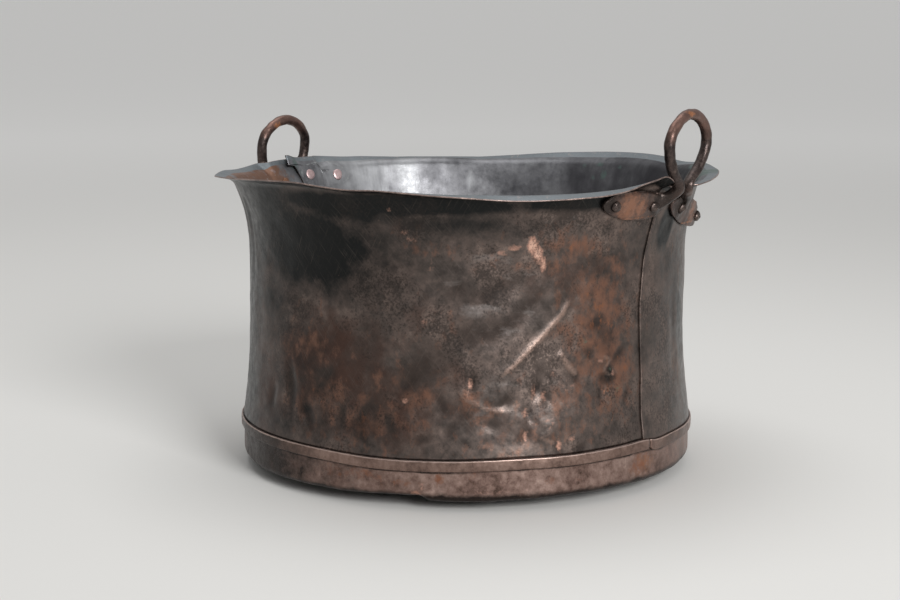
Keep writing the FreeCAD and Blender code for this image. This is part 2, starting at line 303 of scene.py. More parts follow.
def rim_part(share, angle):
    """How far out and up from the end of the flare a point is, at a share of the rim's width,
    and how far up the edge is."""
    climb = round_line([(a, c) for a, _, c in RIM_LINE], angle)
    last_lean = math.pi / 2 - np.radians(climb)

    def place(along):
        bend_end = RIM_BEND * (last_lean - FLARE_LEAN)
        bent = np.minimum(along, bend_end)
        lean = FLARE_LEAN + bent / RIM_BEND
        straight = along - bent
        out = RIM_BEND * (math.cos(FLARE_LEAN) - np.cos(lean)) + straight * np.sin(last_lean)
        rise = RIM_BEND * (np.sin(lean) - math.sin(FLARE_LEAN)) + straight * np.cos(last_lean)
        return out, rise

    length = FLANGE_LENGTH
    for middle, half_width, left in NOTCHES:
        off = np.abs(turned(angle, middle)) * np.radians(1) * FLANGE_RADIUS / mm
        inside = 1 - smooth(off, half_width - NOTCH_CORNER / 2, half_width + NOTCH_CORNER / 2)
        length = length - inside * (FLANGE_LENGTH - left * mm)
    out, rise = place(share * length)
    return out, rise, place(length)[1]


def rim_lift(angle):
    """How much the whole rim stands up or sags at an angle."""
    height = round_line([(a, h) for a, h, _ in RIM_LINE], angle) * mm
    return height - (FLARE_TOP + rim_part(1.0, angle)[2])


def lifted(z, angle):
    """Height of a point of the wall once the rim above it stands up or sags."""
    return z + rim_lift(angle) * smooth(z, LIFT_LOW, LIFT_HIGH)


# Dents: angle, height, half length and half width along and across it (mm), its slant from
# upright in degrees, and depth in mm; a depth below 0 is a bulge.
DENTS = [
    (-51.2, 245, 26, 14, 70, 1.6), (-46.4, 210, 30, 13, 60, 1.8), (-55, 205, 22, 15, 80, 1.4),
    (-45, 262, 24, 12, 75, 1.4), (-58, 255, 20, 12, 60, 1.2), (-40, 240, 20, 11, 50, 1.2),
    (-66, 165, 40, 22, 50, 1.6), (-80, 190, 40, 20, 10, 1.2), (-95, 140, 34, 18, 0, 1.4),
    (-104, 120, 26, 9, -10, 1.6), (-92, 98, 20, 8, 10, 1.5), (-78, 108, 24, 9, 0, 1.5),
    (-60, 118, 26, 10, 80, 1.4), (-48, 122, 20, 8, 70, 1.2), (-66, 300, 34, 18, 40, -1.0),
    (-30, 250, 28, 16, 20, 1.2), (-22, 280, 26, 14, -60, 1.4), (-20, 200, 30, 12, -20, 1.1),
    (-139, 318, 40, 7, 4, 2.6), (-134, 300, 46, 7, 3, 2.0), (-128, 290, 50, 8, 2, 1.4),
    (10, 200, 60, 9, 2, 0.9), (25, 180, 70, 10, 0, 0.8), (70, 160, 40, 26, 40, 1.8),
    (110, 220, 44, 24, 70, 1.8), (150, 150, 36, 24, 30, 1.8), (-170, 200, 44, 20, 60, 1.8),
    (-155, 120, 40, 22, 20, 1.6), (95, 100, 34, 16, 80, 1.4), (130, 110, 26, 14, 10, 1.2),
    (50, 250, 36, 18, 50, 1.2), (170, 250, 40, 18, 20, 1.2)]
# Short sharp knocks, each with a bright lower lip where it catches the light.
KNOCKS = [
    (-54.3, 152, 11, 5, 8, 2.2), (-38.7, 139, 12, 5, 14, 2.2), (-36.3, 129, 10, 5, -30, 2.0),
    (-40.8, 110, 10, 5, -32, 2.1), (-41.4, 85, 12, 5, 4, 2.1), (-33.4, 69, 12, 6, -25, 2.1),
    (-28, 69, 12, 6, 60, 1.6), (-43.4, 79, 9, 5, -10, 1.7), (-29.0, 154, 12, 6, -40, 2.0),
    (-18, 154, 12, 6, -40, 1.9), (-15, 172, 14, 6, 50, 1.8), (-22, 212, 12, 6, 70, 1.6),
    (-13, 122, 12, 6, 20, 1.6), (-21.5, 128, 12, 6, 10, 1.8), (-24, 178, 10, 6, -60, 1.6),
    (-60, 92, 10, 6, 30, 1.6), (-66, 84, 10, 6, 60, 1.6), (-74, 100, 18, 7, -20, 2.2),
    (-81, 112, 16, 7, 30, 2.0), (-87, 105, 20, 7, 4, 2.1), (-97, 96, 20, 7, -20, 2.1),
    (-104, 140, 20, 7, -12, 1.8), (-112, 110, 16, 7, 10, 1.8), (-92, 150, 18, 8, 40, 1.6),
    (-70, 150, 14, 7, 30, 1.4), (-50, 100, 10, 6, -60, 1.4), (-57, 108, 10, 6, 50, 1.3),
    (-46, 128, 9, 5, 20, 1.4), (-50, 300, 12, 6, 60, 1.2), (-62, 130, 10, 6, -30, 1.3)]
# Creases: the points (angle, height) that the fold runs through, half width and height in mm.
CREASES = [([(-28.2, 250), (-32.5, 222), (-38, 196), (-43.5, 172), (-50, 146)], 3.6, 1.8),
           ([(-33.0, 184), (-30.5, 166), (-27.5, 150)], 5.0, 1.6),
           ([(-58.5, 146), (-55.5, 130), (-51, 119), (-44.5, 114)], 3.6, 1.1),
           ([(-21.5, 174), (-18, 166), (-20, 154), (-16.5, 144)], 4.0, 1.1),
           ([(-34, 92), (-38, 84), (-33, 74)], 3.6, 1.0),
           ([(-63, 282), (-52, 290)], 3.0, -0.7),
           ([(-84, 346), (-79, 310), (-72, 274)], 4.5, -0.9),
           ([(-83, 352), (-72, 322), (-58, 292)], 4.0, 0.5),
           ([(-26.5, 292), (-22, 297), (-17, 290)], 5.0, 0.9),
           ([(75, 300), (84, 260), (95, 210)], 6.0, 1.4),
           ([(-160, 300), (-148, 240)], 6.0, 1.3)]


def dented(angle, z, dents=DENTS + KNOCKS, radius=WAIST_RADIUS):
    """How far a round piece is pushed in at a point by its dents and knocks."""
    inward = np.zeros(np.broadcast(angle, z).shape)
    for middle, height, half_length, half_width, slant, depth in dents:
        across = mm_across(angle, middle, radius)
        above = z / mm - height
        lean = math.radians(slant)
        along = above * math.cos(lean) + across * math.sin(lean)
        aside = across * math.cos(lean) - above * math.sin(lean)
        off = (along / half_length) ** 2 + (aside / half_width) ** 2
        inward += depth * np.exp(-off) * mm
    return inward


def creased(angle, z):
    """How far the folds in the wall stand out at a point."""
    folds = np.zeros(np.broadcast(angle, z).shape)
    for line, half_width, height in CREASES:
        nearest = np.full(folds.shape, 99.0)
        fade = np.zeros(folds.shape)
        for k, (start, end) in enumerate(zip(line, line[1:])):
            run = np.array([math.radians(end[0] - start[0]) * WAIST_RADIUS / mm,
                            end[1] - start[1]])
            across = mm_across(angle, start[0])
            above = z / mm - start[1]
            share = np.clip((across * run[0] + above * run[1]) / (run @ run), 0, 1)
            off = np.hypot(across - share * run[0], above - share * run[1]) / half_width
            along = (k + share) / (len(line) - 1)
            ends = smooth(along, 0, 0.2) * (1 - smooth(along, 0.8, 1))
            fade = np.where(off < nearest, ends, fade)
            nearest = np.minimum(nearest, off)
        folds += height * np.exp(-nearest ** 1.4) * fade * mm
    return folds


# Where a palm outside has pressed its leaf shape into the wall: middle angle, height, half
# length and half height in mm, and how far the leaf's line falls towards larger angles.
PRESSED = [(167.7, 341, 41, 16, -0.06), (188.3, 330, 41, 16, 0.18),
           (-12.9, 345.5, 52, 16, 0.08), (12.9, 328, 54, 16, 0.23)]
PRESS_DEPTH = 1.1 * mm
# Hammer blows, as beaten_by() takes them: the sheet was planished in three sizes of blow.
WALL_BLOWS = [(1.5, 120, 1), (0.55, 42, 2), (0.26, 17, 3)]


def pressed(angle, z, edge_only=False):
    """1 where a palm has pressed the wall, with a soft edge, or only round that edge."""
    found = np.zeros(np.broadcast(angle, z).shape)
    for middle, height, half_length, half_height, slope in PRESSED:
        along = mm_across(angle, middle)
        above = z / mm - height + slope * along
        off = np.abs(along / half_length) ** 2.2 + np.abs(above / half_height) ** 1.7
        mark = np.exp(-((off - 1) / 0.16) ** 2) if edge_only else 1 - smooth(off, 0.8, 1.15)
        found = np.maximum(found, mark)
    return found


def beating(points, angle, z):
    """How far the beaten, dented and pressed wall stands out from its even face."""
    beaten = beaten_by(points, WALL_BLOWS)
    free = smooth(z, FOOT_HEIGHT - 1 * mm, 100 * mm)
    calm_rim = 1 - 0.75 * smooth(z, FLARE_TOP - 20 * mm, FLARE_TOP + 12 * mm)
    knocked = creased(angle, z) - dented(angle, z) - PRESS_DEPTH * pressed(angle, z)
    return free * calm_rim * (beaten + knocked)


def wall_skin(angle_at, outer_end):
    """The grid of a sheet's outer face, its angles, heights, outward directions, and how far
    along the flange each row is.

    angle_at gives the angle of each column at a height; outer_end is where the sheet is the
    outer layer."""
    heights = wall_heights()
    level = np.concatenate([heights, np.full(RIM_ROWS, RIM_LEVEL)])
    angle = np.array([angle_at(z) for z in level])
    z = level[:, None] * np.ones_like(angle)
    radius = wall_radius(z)
    share = np.linspace(0, 1, RIM_ROWS + 1)[1:, None]
    out, rise, _ = rim_part(share, angle[-RIM_ROWS:])
    radius[-RIM_ROWS:] = FLARE_REACH + out
    z[-RIM_ROWS:] = FLARE_TOP + rise
    z = lifted(z, angle) - hoop_drop(angle) * (1 - smooth(z, PAN_TOP, DROP_FADE))
    points = polar_points(radius, angle, z)
    outward = grid_normals(points)
    layer = LAP_SHIFT * np.cos(np.radians(angle - outer_end))
    points = points + outward * (layer + beating(points, angle, z))[..., None]
    along_flange = np.concatenate([np.zeros(len(heights)), share[:, 0]])[:, None] + 0 * angle
    return points, angle, z, outward, along_flange


EDGE_STEPS = 3                             # steps round the top edge of a sheet


def closed_sheet(name, points, outward, thickness, round_about=False):
    """A mesh of a sheet from the grid of its outer face: outer face, rounded top edge and inner
    face.  A sheet that isn't round about has two ends; one that is has a middle instead, and
    its first row is a small ring.  Returns the object and each vertex's (row, column)."""
    rows, columns = points.shape[:2]
    inner = points - outward * thickness
    top_out = points[-1] - points[-2]
    top_out /= np.linalg.norm(top_out, axis=-1, keepdims=True)
    middle = (points[-1] + inner[-1]) / 2
    ring = list(points)
    place = list(range(rows))
    for k in range(1, EDGE_STEPS + 1):
        turn = math.pi * k / (EDGE_STEPS + 1)
        over = outward[-1] * math.cos(turn) + top_out * math.sin(turn)
        ring.append(middle + over * thickness / 2)
        place.append(rows - 1)
    ring += list(inner[::-1])
    place += list(range(rows))[::-1]
    count = len(ring)
    index = np.arange(count * columns).reshape(count, columns)
    faces = []
    kinds = []
    for i in range(count - round_about):
        low, high = index[i], index[(i + 1) % count]
        kind = 0 if i < rows - 1 else 1 if rows + EDGE_STEPS <= i < count - 1 else 2
        for c in range(columns - 1 + round_about):
            d = (c + 1) % columns
            faces.append((low[c], low[d], high[d], high[c]))
            kinds.append(kind)
    if round_about:
        faces += [index[0][::-1], index[-1]]
        kinds += [0, 1]
    ends = [] if round_about else [(0, False), (columns - 1, True)]
    for c, flip in ends:
        loop = index[:, c]
        for i in range(rows - 1):
            quad = (loop[i], loop[i + 1], loop[count - 2 - i], loop[count - 1 - i])
            faces.append(quad[::-1] if flip else quad)
            kinds.append(0)
        cap = tuple(loop[rows - 1:rows + EDGE_STEPS + 1])
        faces.append(cap[::-1] if flip else cap)
        kinds.append(0)
    return new_piece(name, np.array(ring), faces, kinds), np.array(place)


# Finish of the wall, outside and inside, and painted light and shade on it: each kind of mark and
# its patches.
WALL_MARKS = {
    # Partly soot from the fire, partly painted shade: the dark band under the flange, the handle's
    # shadow between the right handle's palms, and a darker left side, away from the light.
    "soot_and_shade": [
        (-97, 296, 125, 62, 1.1), (-118, 330, 110, 90, 1.0), (-132, 240, 80, 130, 0.85),
        (-84, 345, 110, 24, 0.9), (-60, 356, 130, 12, 0.9), (-25, 356, 100, 9, 0.7),
        (-66, 320, 50, 30, 0.5), (1.5, 313, 13, 24, 1.6), (8, 280, 22, 60, 0.45),
        (-136, 110, 90, 130, 1.0), (-106, 84, 80, 28, 0.6), (-19, 146, 18, 12, 0.7),
        (-82, 92, 20, 14, 0.6), (-99, 106, 16, 18, 0.6), (-48, 84, 50, 9, 0.4),
        (-75, 352, 170, 13, 1.5), (-30, 353, 90, 11, 1.2), (-64, 330, 90, 26, 0.62),
        (3.6, 316, 10, 22, 3.0), (15, 200, 70, 220, 0.42), (-142, 230, 90, 190, 0.85),
        (-112, 215, 60, 60, 0.6), (-104, 170, 90, 120, 0.42), (-60, 330, 120, 22, 0.7),
        (120, 280, 150, 80, 0.8), (-170, 240, 100, 110, 0.6), (60, 340, 120, 40, 0.5),
        (10, 100, 60, 50, 0.35)],
    "brown": [
        (-93, 160, 110, 70, 1.0), (-75, 120, 90, 60, 0.8), (-118, 110, 70, 80, 0.9),
        (-68, 230, 40, 40, 0.4), (-34, 270, 50, 40, 0.55), (-20, 230, 50, 90, 0.5),
        (-58, 160, 40, 30, 0.5), (-45, 100, 120, 40, 0.4), (-72, 330, 20, 20, 0.5),
        (150, 130, 120, 90, 0.8), (-165, 110, 90, 70, 0.8), (70, 120, 90, 70, 0.6)],
    "rust": [
        (-22, 215, 60, 100, 0.85), (-17, 150, 40, 66, 0.9), (-30, 300, 56, 30, 0.7),
        (-14, 240, 16, 70, 0.6), (-80, 100, 56, 36, 0.75), (-94, 120, 60, 60, 0.65),
        (-100, 180, 60, 44, 0.6), (-70, 130, 60, 70, 0.55), (-54, 124, 60, 24, 0.65),
        (-45, 80, 100, 22, 0.5), (-30, 120, 60, 60, 0.55), (-66, 320, 44, 34, 0.4),
        (-62, 210, 60, 40, 0.35), (-44, 290, 60, 40, 0.3), (140, 140, 80, 60, 0.6),
        (-160, 110, 80, 50, 0.6), (80, 90, 60, 30, 0.6)],
    "streaked": [
        (16, 200, 70, 180, 1.0), (-13, 170, 20, 130, 0.5), (60, 180, 120, 140, 0.6)],
    # Partly rubbed-through copper, partly painted glints on the lower lips of the knocks.
    "bare_and_highlight": [
        (-40.0, 306, 6, 9, 1.9), (-38.6, 296, 5, 10, 1.9), (-37.2, 284, 3.4, 10, 1.5),
        (-44.3, 303.5, 8, 3.4, 1.2), (-47.4, 298, 6, 3.2, 1.0), (-70, 321, 6, 4, 0.8),
        (-68.5, 313, 9, 3, 0.7), (-73.5, 347, 4, 3, 0.7), (-64, 282, 3, 9, 0.75),
        (-65.6, 219, 3.6, 4, 0.9), (-70.3, 127, 3.6, 3.6, 1.2), (-54.6, 148, 3.2, 8, 1.2),
        (-39.4, 138, 3.2, 8, 1.2), (-37.0, 131, 4, 7, 1.0), (-41.6, 114, 3.6, 5.5, 1.2),
        (-41.8, 88, 3.2, 7, 1.1), (-33.4, 74, 3.6, 9, 1.2), (-30, 80, 5, 4, 0.8),
        (-34.6, 155, 4, 6, 0.8), (-17, 150, 4, 6, 0.8), (-21, 166, 4, 4, 0.7),
        (-50, 74, 8, 3, 0.6), (-36, 100, 12, 8, 0.5), (-30, 140, 12, 8, 0.45)],
    # Painted reflection: soft light patches where the lumps face the sky.
    "painted_sheen": [
        (-50, 292, 40, 12, 0.7), (-42, 272, 34, 10, 0.6), (-53, 232, 30, 10, 1.0),
        (-41, 232, 26, 9, 0.7), (-58, 262, 26, 10, 0.6), (-46, 208, 30, 12, 0.7),
        (-48, 150, 34, 14, 0.7), (-38, 112, 36, 18, 0.7), (-52, 118, 30, 10, 0.6),
        (-30, 330, 60, 14, 0.5), (-34, 150, 30, 12, 0.5), (-28, 60, 40, 8, 0.4)],
    "verdigris": [
        (-25.4, 190, 3, 9, 0.7), (-17.6, 154, 4, 4, 0.6), (-15.8, 131, 6, 5, 0.7),
        (-22, 240, 5, 5, 0.4), (-12, 66, 8, 8, 0.4)],
    "tin_verdigris": [
        (84.7, 353, 6, 4, 0.9), (82.6, 340, 7, 9, 0.9), (77.5, 352, 5, 4, 0.9),
        (90, 349, 6, 4, 0.8), (86, 336, 5, 4, 0.7), (30, 366, 34, 14, 1.2), (44, 368, 16, 8, 0.9),
        (70, 370, 60, 5, 0.5), (178, 362, 7, 16, 0.9), (177, 345, 6, 14, 0.6)],
    "tin_gone": [
        (190, 345, 40, 22, 1.0), (204, 350, 44, 22, 1.0), (218, 350, 40, 18, 0.9),
        (232, 350, 30, 16, 0.6)],
    # Painted reflection: bright upright streaks on the tin inside.
    "tin_painted_reflection": [
        (141, 335, 20, 60, 0.8), (154, 340, 50, 50, 0.7), (166, 338, 40, 30, 0.6),
        (123, 325, 8, 20, 0.7)],
    "tin_dark": [
        (50, 320, 170, 120, 1.0), (88, 320, 60, 80, 0.6), (104, 320, 30, 80, 0.35),
        (-40, 200, 600, 300, 0.4)],
}
FULL_MARK = 1.8 * mm                       # a dent or fold this deep is marked in full


def wall_sheet(name, node, angle_at, outer_end, torn_end=None):
    """One of the wall's two sheets; its torn end, if it has one, curls inwards at the rim."""
    points, angle, z, outward, along_flange = wall_skin(angle_at, outer_end)
    if torn_end is not None:
        near = smooth(-turned(angle, torn_end(z)), 0, TEAR_WIDTH)
        curl = (1 - near) * smooth(z, TEAR_LOW, TEAR_HIGH)
        points = points - outward * (TEAR_CURL * curl)[..., None]
        points[..., 2] += TEAR_RISE * curl ** 2
    piece, place = closed_sheet(name, points, outward, SHEET)
    marks = marked(WALL_MARKS, angle, z)
    # Painted shade: the underside of the flange and its bend are marked dark in full.
    marks["soot_and_shade"] = np.maximum(marks["soot_and_shade"], smooth(along_flange, 0.1, 0.4))
    marks["flange"] = smooth(along_flange, 0.45, 0.6)
    # Painted shade: darker in the dents and knocks, the deeper the darker.
    marks["dent_shade"] = np.clip(dented(angle, z) / FULL_MARK, 0, 1)
    # Partly wear, partly painted highlight: lighter along the ridges of the folds.
    marks["ridge_wear_and_highlight"] = np.clip(creased(angle, z) / FULL_MARK, 0, 1)
    # Painted highlight: a light line round the edge of each palm's print inside.
    marks["palm_line"] = pressed(angle, z, edge_only=True)
    store(piece, marks, place)
    store_flat_sheet(piece, (np.radians(angle) * WAIST_RADIUS)[place], z[place])
    return stands_for(piece, node)


def seam_edge(z):
    """Angle of the seam beside the right handle, at a height."""
    return line_through(SEAM_LINE, z / mm)


def inner_edge(z):
    """Angle of the rear sheet's end inside the vessel, at a height."""
    return line_through(INNER_END_LINE, z / mm)


def front_columns(z):
    return np.linspace(SEAM_START + 180, seam_edge(z) + 360 + SEAM_LAP, WALL_COLUMNS)


def rear_columns(z):
    return np.linspace(seam_edge(z), inner_edge(z), WALL_COLUMNS)


front_wall = wall_sheet("front_wall_sheet", "front_body_sheet", front_columns, SEAM_START + 180)
rear_wall = wall_sheet("rear_wall_sheet", "rear_body_sheet", rear_columns, SEAM_START, inner_edge)


# ---- base pan and hoop --------------------------------------------------------------

PAN_CORNER = 9 * mm
REST_RADIUS = 110 * mm
BASE_RISE = 12.3 * mm
PAN_COLUMNS = 300
# The pan's corner is knocked upwards: angle and how far in mm, with a sharp step at one end.
CORNER_LIFT = [(-110, 0), (-96, 1.2), (-88, 2.2), (-76, 3.8), (-69, 4.8), (-66.4, 5.2),
               (-65.0, 0.6), (-63, 0), (-30, 0.5), (20, 0), (120, 0.8), (200, 0)]
PAN_DENTS = [(-63.4, 34, 12, 7, 6, 2.2), (-59, 40, 14, 7, 80, 0.8), (-30, 36, 30, 10, 80, 0.7),
             (-100, 36, 30, 9, 85, 0.9), (15, 40, 26, 9, 80, 0.8), (100, 36, 30, 10, 80, 1.2),
             (170, 38, 26, 10, 80, 1.0), (-150, 40, 24, 9, 80, 1.0), (60, 30, 20, 8, 60, 1.0)]
PAN_BLOWS = [(0.5, 60, 4), (0.3, 22, 5)]
PAN_MARKS = {
    # Partly soot, partly painted shade on the left side, away from the light.
    "soot_and_shade": [(-118, 35, 140, 60, 1.05), (20, 35, 60, 60, 0.3), (150, 35, 300, 60, 0.5)],
    "streaked": [(-7, 36, 34, 26, 1.0), (10, 40, 30, 30, 0.7)],
    "rust": [
        (-9, 36, 22, 18, 1.0), (-62, 40, 8, 10, 0.9), (-55, 42, 30, 12, 0.5),
        (-35, 34, 12, 8, 0.7), (-84, 38, 60, 12, 0.7), (-70, 34, 20, 8, 0.6),
        (-25, 30, 30, 6, 0.5), (120, 36, 60, 20, 0.7), (4, 34, 14, 14, 0.6)],
    # Painted highlight along the knocked-up crease at the pan's corner and along the corner.
    "bare_and_highlight": [(-67.5, 22, 6, 4, 0.9), (-66, 30, 2, 8, 0.5), (-50, 24, 60, 2.5, 0.35)],
}


def pan_profile():
    """Radius and height along the pan's outer face, from the middle to the top of its side."""
    out = [8 * mm, 60 * mm] + list(np.linspace(REST_RADIUS, FOOT_RADIUS - PAN_CORNER, 26))
    dish = FOOT_RADIUS - PAN_CORNER - REST_RADIUS
    lean = 2 * math.atan(BASE_RISE / dish)
    profile = [(r, BASE_RISE * (max(r - REST_RADIUS, 0) / dish) ** 2) for r in out]
    for k in range(1, 11):
        turn = lean + (math.pi / 2 - lean) * k / 10
        profile.append((FOOT_RADIUS - PAN_CORNER + PAN_CORNER * (math.sin(turn) - math.sin(lean)),
                        BASE_RISE + PAN_CORNER * (math.cos(lean) - math.cos(turn))))
    widest = profile[-1][0]
    profile = [(r + (FOOT_RADIUS - widest) * smooth(r, REST_RADIUS, widest), z)
               for r, z in profile]
    side = np.linspace(profile[-1][1], PAN_TOP, 18)[1:]
    return np.array(profile + [(FOOT_RADIUS, z) for z in side])


def pan_piece():
    """The dished base with its turned-up side, dented and knocked."""
    profile = pan_profile()
    angle = np.linspace(0, 360, PAN_COLUMNS, endpoint=False)[None, :] + 0 * profile[:, :1]
    radius = profile[:, :1] + 0 * angle
    z = profile[:, 1:] + 0 * angle
    corner = smooth(radius, FOOT_RADIUS - 60 * mm, FOOT_RADIUS - 4 * mm)
    z = z + round_line(CORNER_LIFT, angle) * mm * corner * (1 - smooth(z, 24 * mm, 50 * mm))
    z = z - hoop_drop(angle) * smooth(z, 40 * mm, PAN_TOP)
    points = polar_points(radius, angle, z)
    around = np.roll(points, -1, 1) - np.roll(points, 1, 1)
    outward = np.cross(around, np.gradient(points, axis=0))
    outward /= np.linalg.norm(outward, axis=-1, keepdims=True)
    beaten = beaten_by(points, PAN_BLOWS) - dented(angle, z, PAN_DENTS, FOOT_RADIUS)
    on_side = smooth(radius, REST_RADIUS, FOOT_RADIUS - 20 * mm)
    on_side = on_side * (1 - smooth(z, 46 * mm, 56 * mm))
    points = points + outward * (beaten * on_side)[..., None]
    points[..., 2] = np.maximum(points[..., 2], PAN_LOW.z)
    piece, place = closed_sheet("dished_base_pan", points, outward, PAN_SHEET, round_about=True)
    # Darker towards the bottom of the pan: soot, and painted shade where the pan turns under.
    underside_blackened_and_shaded = 1 - smooth(z, 15 * mm, 26 * mm)
    # Painted shadow: a dark line on the pan just under the hoop's lower edge.
    below_hoop = round_line(HOOP_LINE, angle) * mm - (HOOP_HIGH.z - HOOP_LOW.z) - 0.6 * mm
    hoop_shadow = 1.1 * np.exp(-((z - below_hoop) / (1.5 * mm)) ** 2)
    marks = marked(PAN_MARKS, angle, z)
    marks["soot_and_shade"] = np.maximum(np.maximum(underside_blackened_and_shaded, marks["soot_and_shade"]), hoop_shadow)
    store(piece, marks, place)
    store_flat_sheet(piece, (np.radians(angle) * FOOT_RADIUS)[place], z[place])
    return stands_for(piece, "base_pan")


HOOP_JOINT = -5.8                          # degrees
HOOP_CORNER = 0.9 * mm
HOOP_BLOWS = [(0.25, 30, 6), (0.18, 9, 7)]
HOOP_BULGE = [(0.1, 0.8), (0.25, 0.6), (0.25, 0.4), (0.1, 0.2)]   # mm, and share of its width
# Partly soot, partly painted shade on the left side, away from the light.
HOOP_MARKS = {"soot_and_shade": [(-120, 55, 100, 60, 1.1), (10, 55, 60, 60, 0.5), (150, 55, 300, 60, 0.4)]}


def hoop_piece():
    """A strip of rounded section, its ends meeting in a ragged joint."""
    inner = FOOT_RADIUS + LAP_GAP
    outer = HOOP_HIGH.x
    width = HOOP_HIGH.z - HOOP_LOW.z
    angle = HOOP_JOINT + np.linspace(0.2, 359.7, 620)
    top = round_line(HOOP_LINE, angle) * mm
    section = []
    corners = [(outer, -width, -90), (outer, 0, 0), (inner, 0, 90), (inner, -width, 180)]
    for r, z, first in corners:
        middle_r = r - HOOP_CORNER if r == outer else r + HOOP_CORNER
        middle_z = z - HOOP_CORNER if z == 0 else z + HOOP_CORNER
        for turn in np.radians([first, first + 30, first + 60, first + 90]):
            section.append((middle_r + HOOP_CORNER * math.cos(turn),
                            middle_z + HOOP_CORNER * math.sin(turn)))
        if first == -90:
            section += [(outer + bulge * mm, -width * share) for bulge, share in HOOP_BULGE]
    section = np.array(section)
    ends = np.minimum(angle - angle[0], angle[-1] - angle) * np.radians(FOOT_RADIUS / mm)
    narrow = 1 - 0.22 * np.exp(-(ends / 3) ** 2)
    rows = []
    for r, z in section:
        at_top = smooth(z, -0.6 * width, 0)
        radius = r + 0 * angle
        height = top + z * narrow
        points = polar_points(radius, angle, height)
        wander = beaten_by(points, HOOP_BLOWS)
        radius = radius + (wander if r > inner + 1 * mm else 0)
        rows.append(polar_points(radius, angle, height + 0.35 * at_top * wander))
    rows = np.array(rows)
    columns = rows.shape[1]
    index = np.arange(len(rows) * columns).reshape(-1, columns)
    faces = [(low[c], low[c + 1], high[c + 1], high[c])
             for low, high in zip(index, np.roll(index, -1, axis=0)) for c in range(columns - 1)]
    faces += [index[:, 0], index[::-1, -1]]
    piece = new_piece("base_hoop_strip", rows, faces)
    # Painted highlight: the worn mark lightens the hoop's top outer edge, where it catches the
    # light.
    worn = smooth(section[:, 1], -1.6 * mm, -0.2 * mm) * smooth(section[:, 0], inner + mm, outer)
    angles = angle[None, :] + 0 * rows[..., 0]
    marks = marked(HOOP_MARKS, angles, rows[..., 2])
    marks["worn"] = worn[:, None] + 0 * rows[..., 0]
    store(piece, marks)
    store_flat_sheet(piece, np.radians(angles) * FOOT_RADIUS, rows[..., 2])
    return stands_for(piece, "base_hoop")


pan = pan_piece()
hoop = hoop_piece()


# ---- handles ------------------------------------------------------------------------

RIM_HEIGHT = 365 * mm
LEG_INSET = 6.5 * mm                       # from the flange's edge in to the legs
LEG_RADIUS = FLANGE_RADIUS + LAP_SHIFT - LEG_INSET
BAR_RADIUS = 6.5 * mm
PALM_THICKNESS = 4.6 * mm
PALM_HALF_HEIGHT = 17 * mm
PALM_GAP = 0.15 * mm
PALM_REACH = WAIST_RADIUS + 16 * mm        # from the axis to the palms
RIM_CLEARANCE = 2.9 * mm                   # from the rim's middle out to a handle beside it
VOXEL = 1.0 * mm
BAR_BLOWS = [(0.42, 9, 8), (0.25, 24, 9)]

# A stem, from the leg into its palm.  First where it lies over the palm, past the root: how far
# on, its share of the root's height, and how far out (mm).  Then its radii (mm) from the leg to
# its tip, and where along it they are.
STEM_SPOTS = [(0.0, 1.0, 4.6), (12.0, 0.55, 3.3), (26.0, 0.15, 2.2)]
STEM_RADII = [(0, 6.5), (0.25, 7.2), (0.62, 7.0), (0.82, 6.0), (1.0, 4.4)]

# Each handle: its lean and the height of its crown over the rim; the loop from the crown down
# one side as (bend radius, degrees), or (0, length) for a straight run; where its two legs run
# into its palms; its rivets' distances from its middle; and its palms, first the one at smaller
# angles.  Lengths are in mm.
PALM_VALUES = ("start", "length",          # from the handle's middle outwards
               "drop", "climb",            # from the rim to the inner rivet, and in degrees
               "root",                     # how far above its middle line the leg runs into it
               "flat", "drawn_in",         # how much its leg is flattened, and drawn in
               "stands_off")               # how far its outer end stands off the wall
HANDLES = {
    "right_handle": dict(
        angle=RIGHT_HANDLE, lean=4, crown_rise=83,
        loop=[(52, 50), (24, 55), (60, 35), (0, 12), (10, -45)], root=(21, 38), rivets=(34, 98),
        palms=[(11.5, 102.5, 22, 4.5, 9, 0.0, -2, 0), (7, 109, 30, -13, 13, 0.9, 6, 6)]),
    "left_handle": dict(
        angle=LEFT_HANDLE, lean=-6, crown_rise=53,
        loop=[(49, 50), (24, 35), (60, 25), (0, 10)], root=(44, 44), rivets=(25, 75),
        palms=[(9, 82, 22.5, -3.4, 7, 0.0, 0, 0), (9, 82, 30, -10, 10, 0.0, 0, 0)]),
}
PALM_MARKS = {
    "rust": [(-15.5, 345, 20, 22, 1.0), (-11.5, 342, 12, 18, 0.9), (15, 326, 16, 24, 0.8)],
    "dark": [(-22.5, 347, 14, 22, 1.0), (-5, 345, 16, 26, 0.9), (6, 338, 16, 26, 0.9),
             (24, 318, 12, 22, 0.8)],
    # Orange spots on the loops, and painted highlights along the palms' lit top and bottom edges.
    "bare_and_highlight": [(181.8, 411, 8, 6, 0.9), (-1.5, 449, 7, 4, 0.9), (-6.5, 361, 9, 2.5, 0.9),
             (-13, 330, 50, 1.6, 0.5), (13, 313, 30, 1.8, 0.6)],
}


def layer_at(angle, z, lap=0.0):
    """How far out the outermost sheet lies at a point, or with a lap the innermost one."""
    past_seam = (angle - seam_edge(z)) % 360
    on_rear = (past_seam > lap) & (past_seam < 180 + lap)
    outer_end = np.where(on_rear, SEAM_START, SEAM_START + 180)
    return LAP_SHIFT * np.cos(np.radians(angle - outer_end))


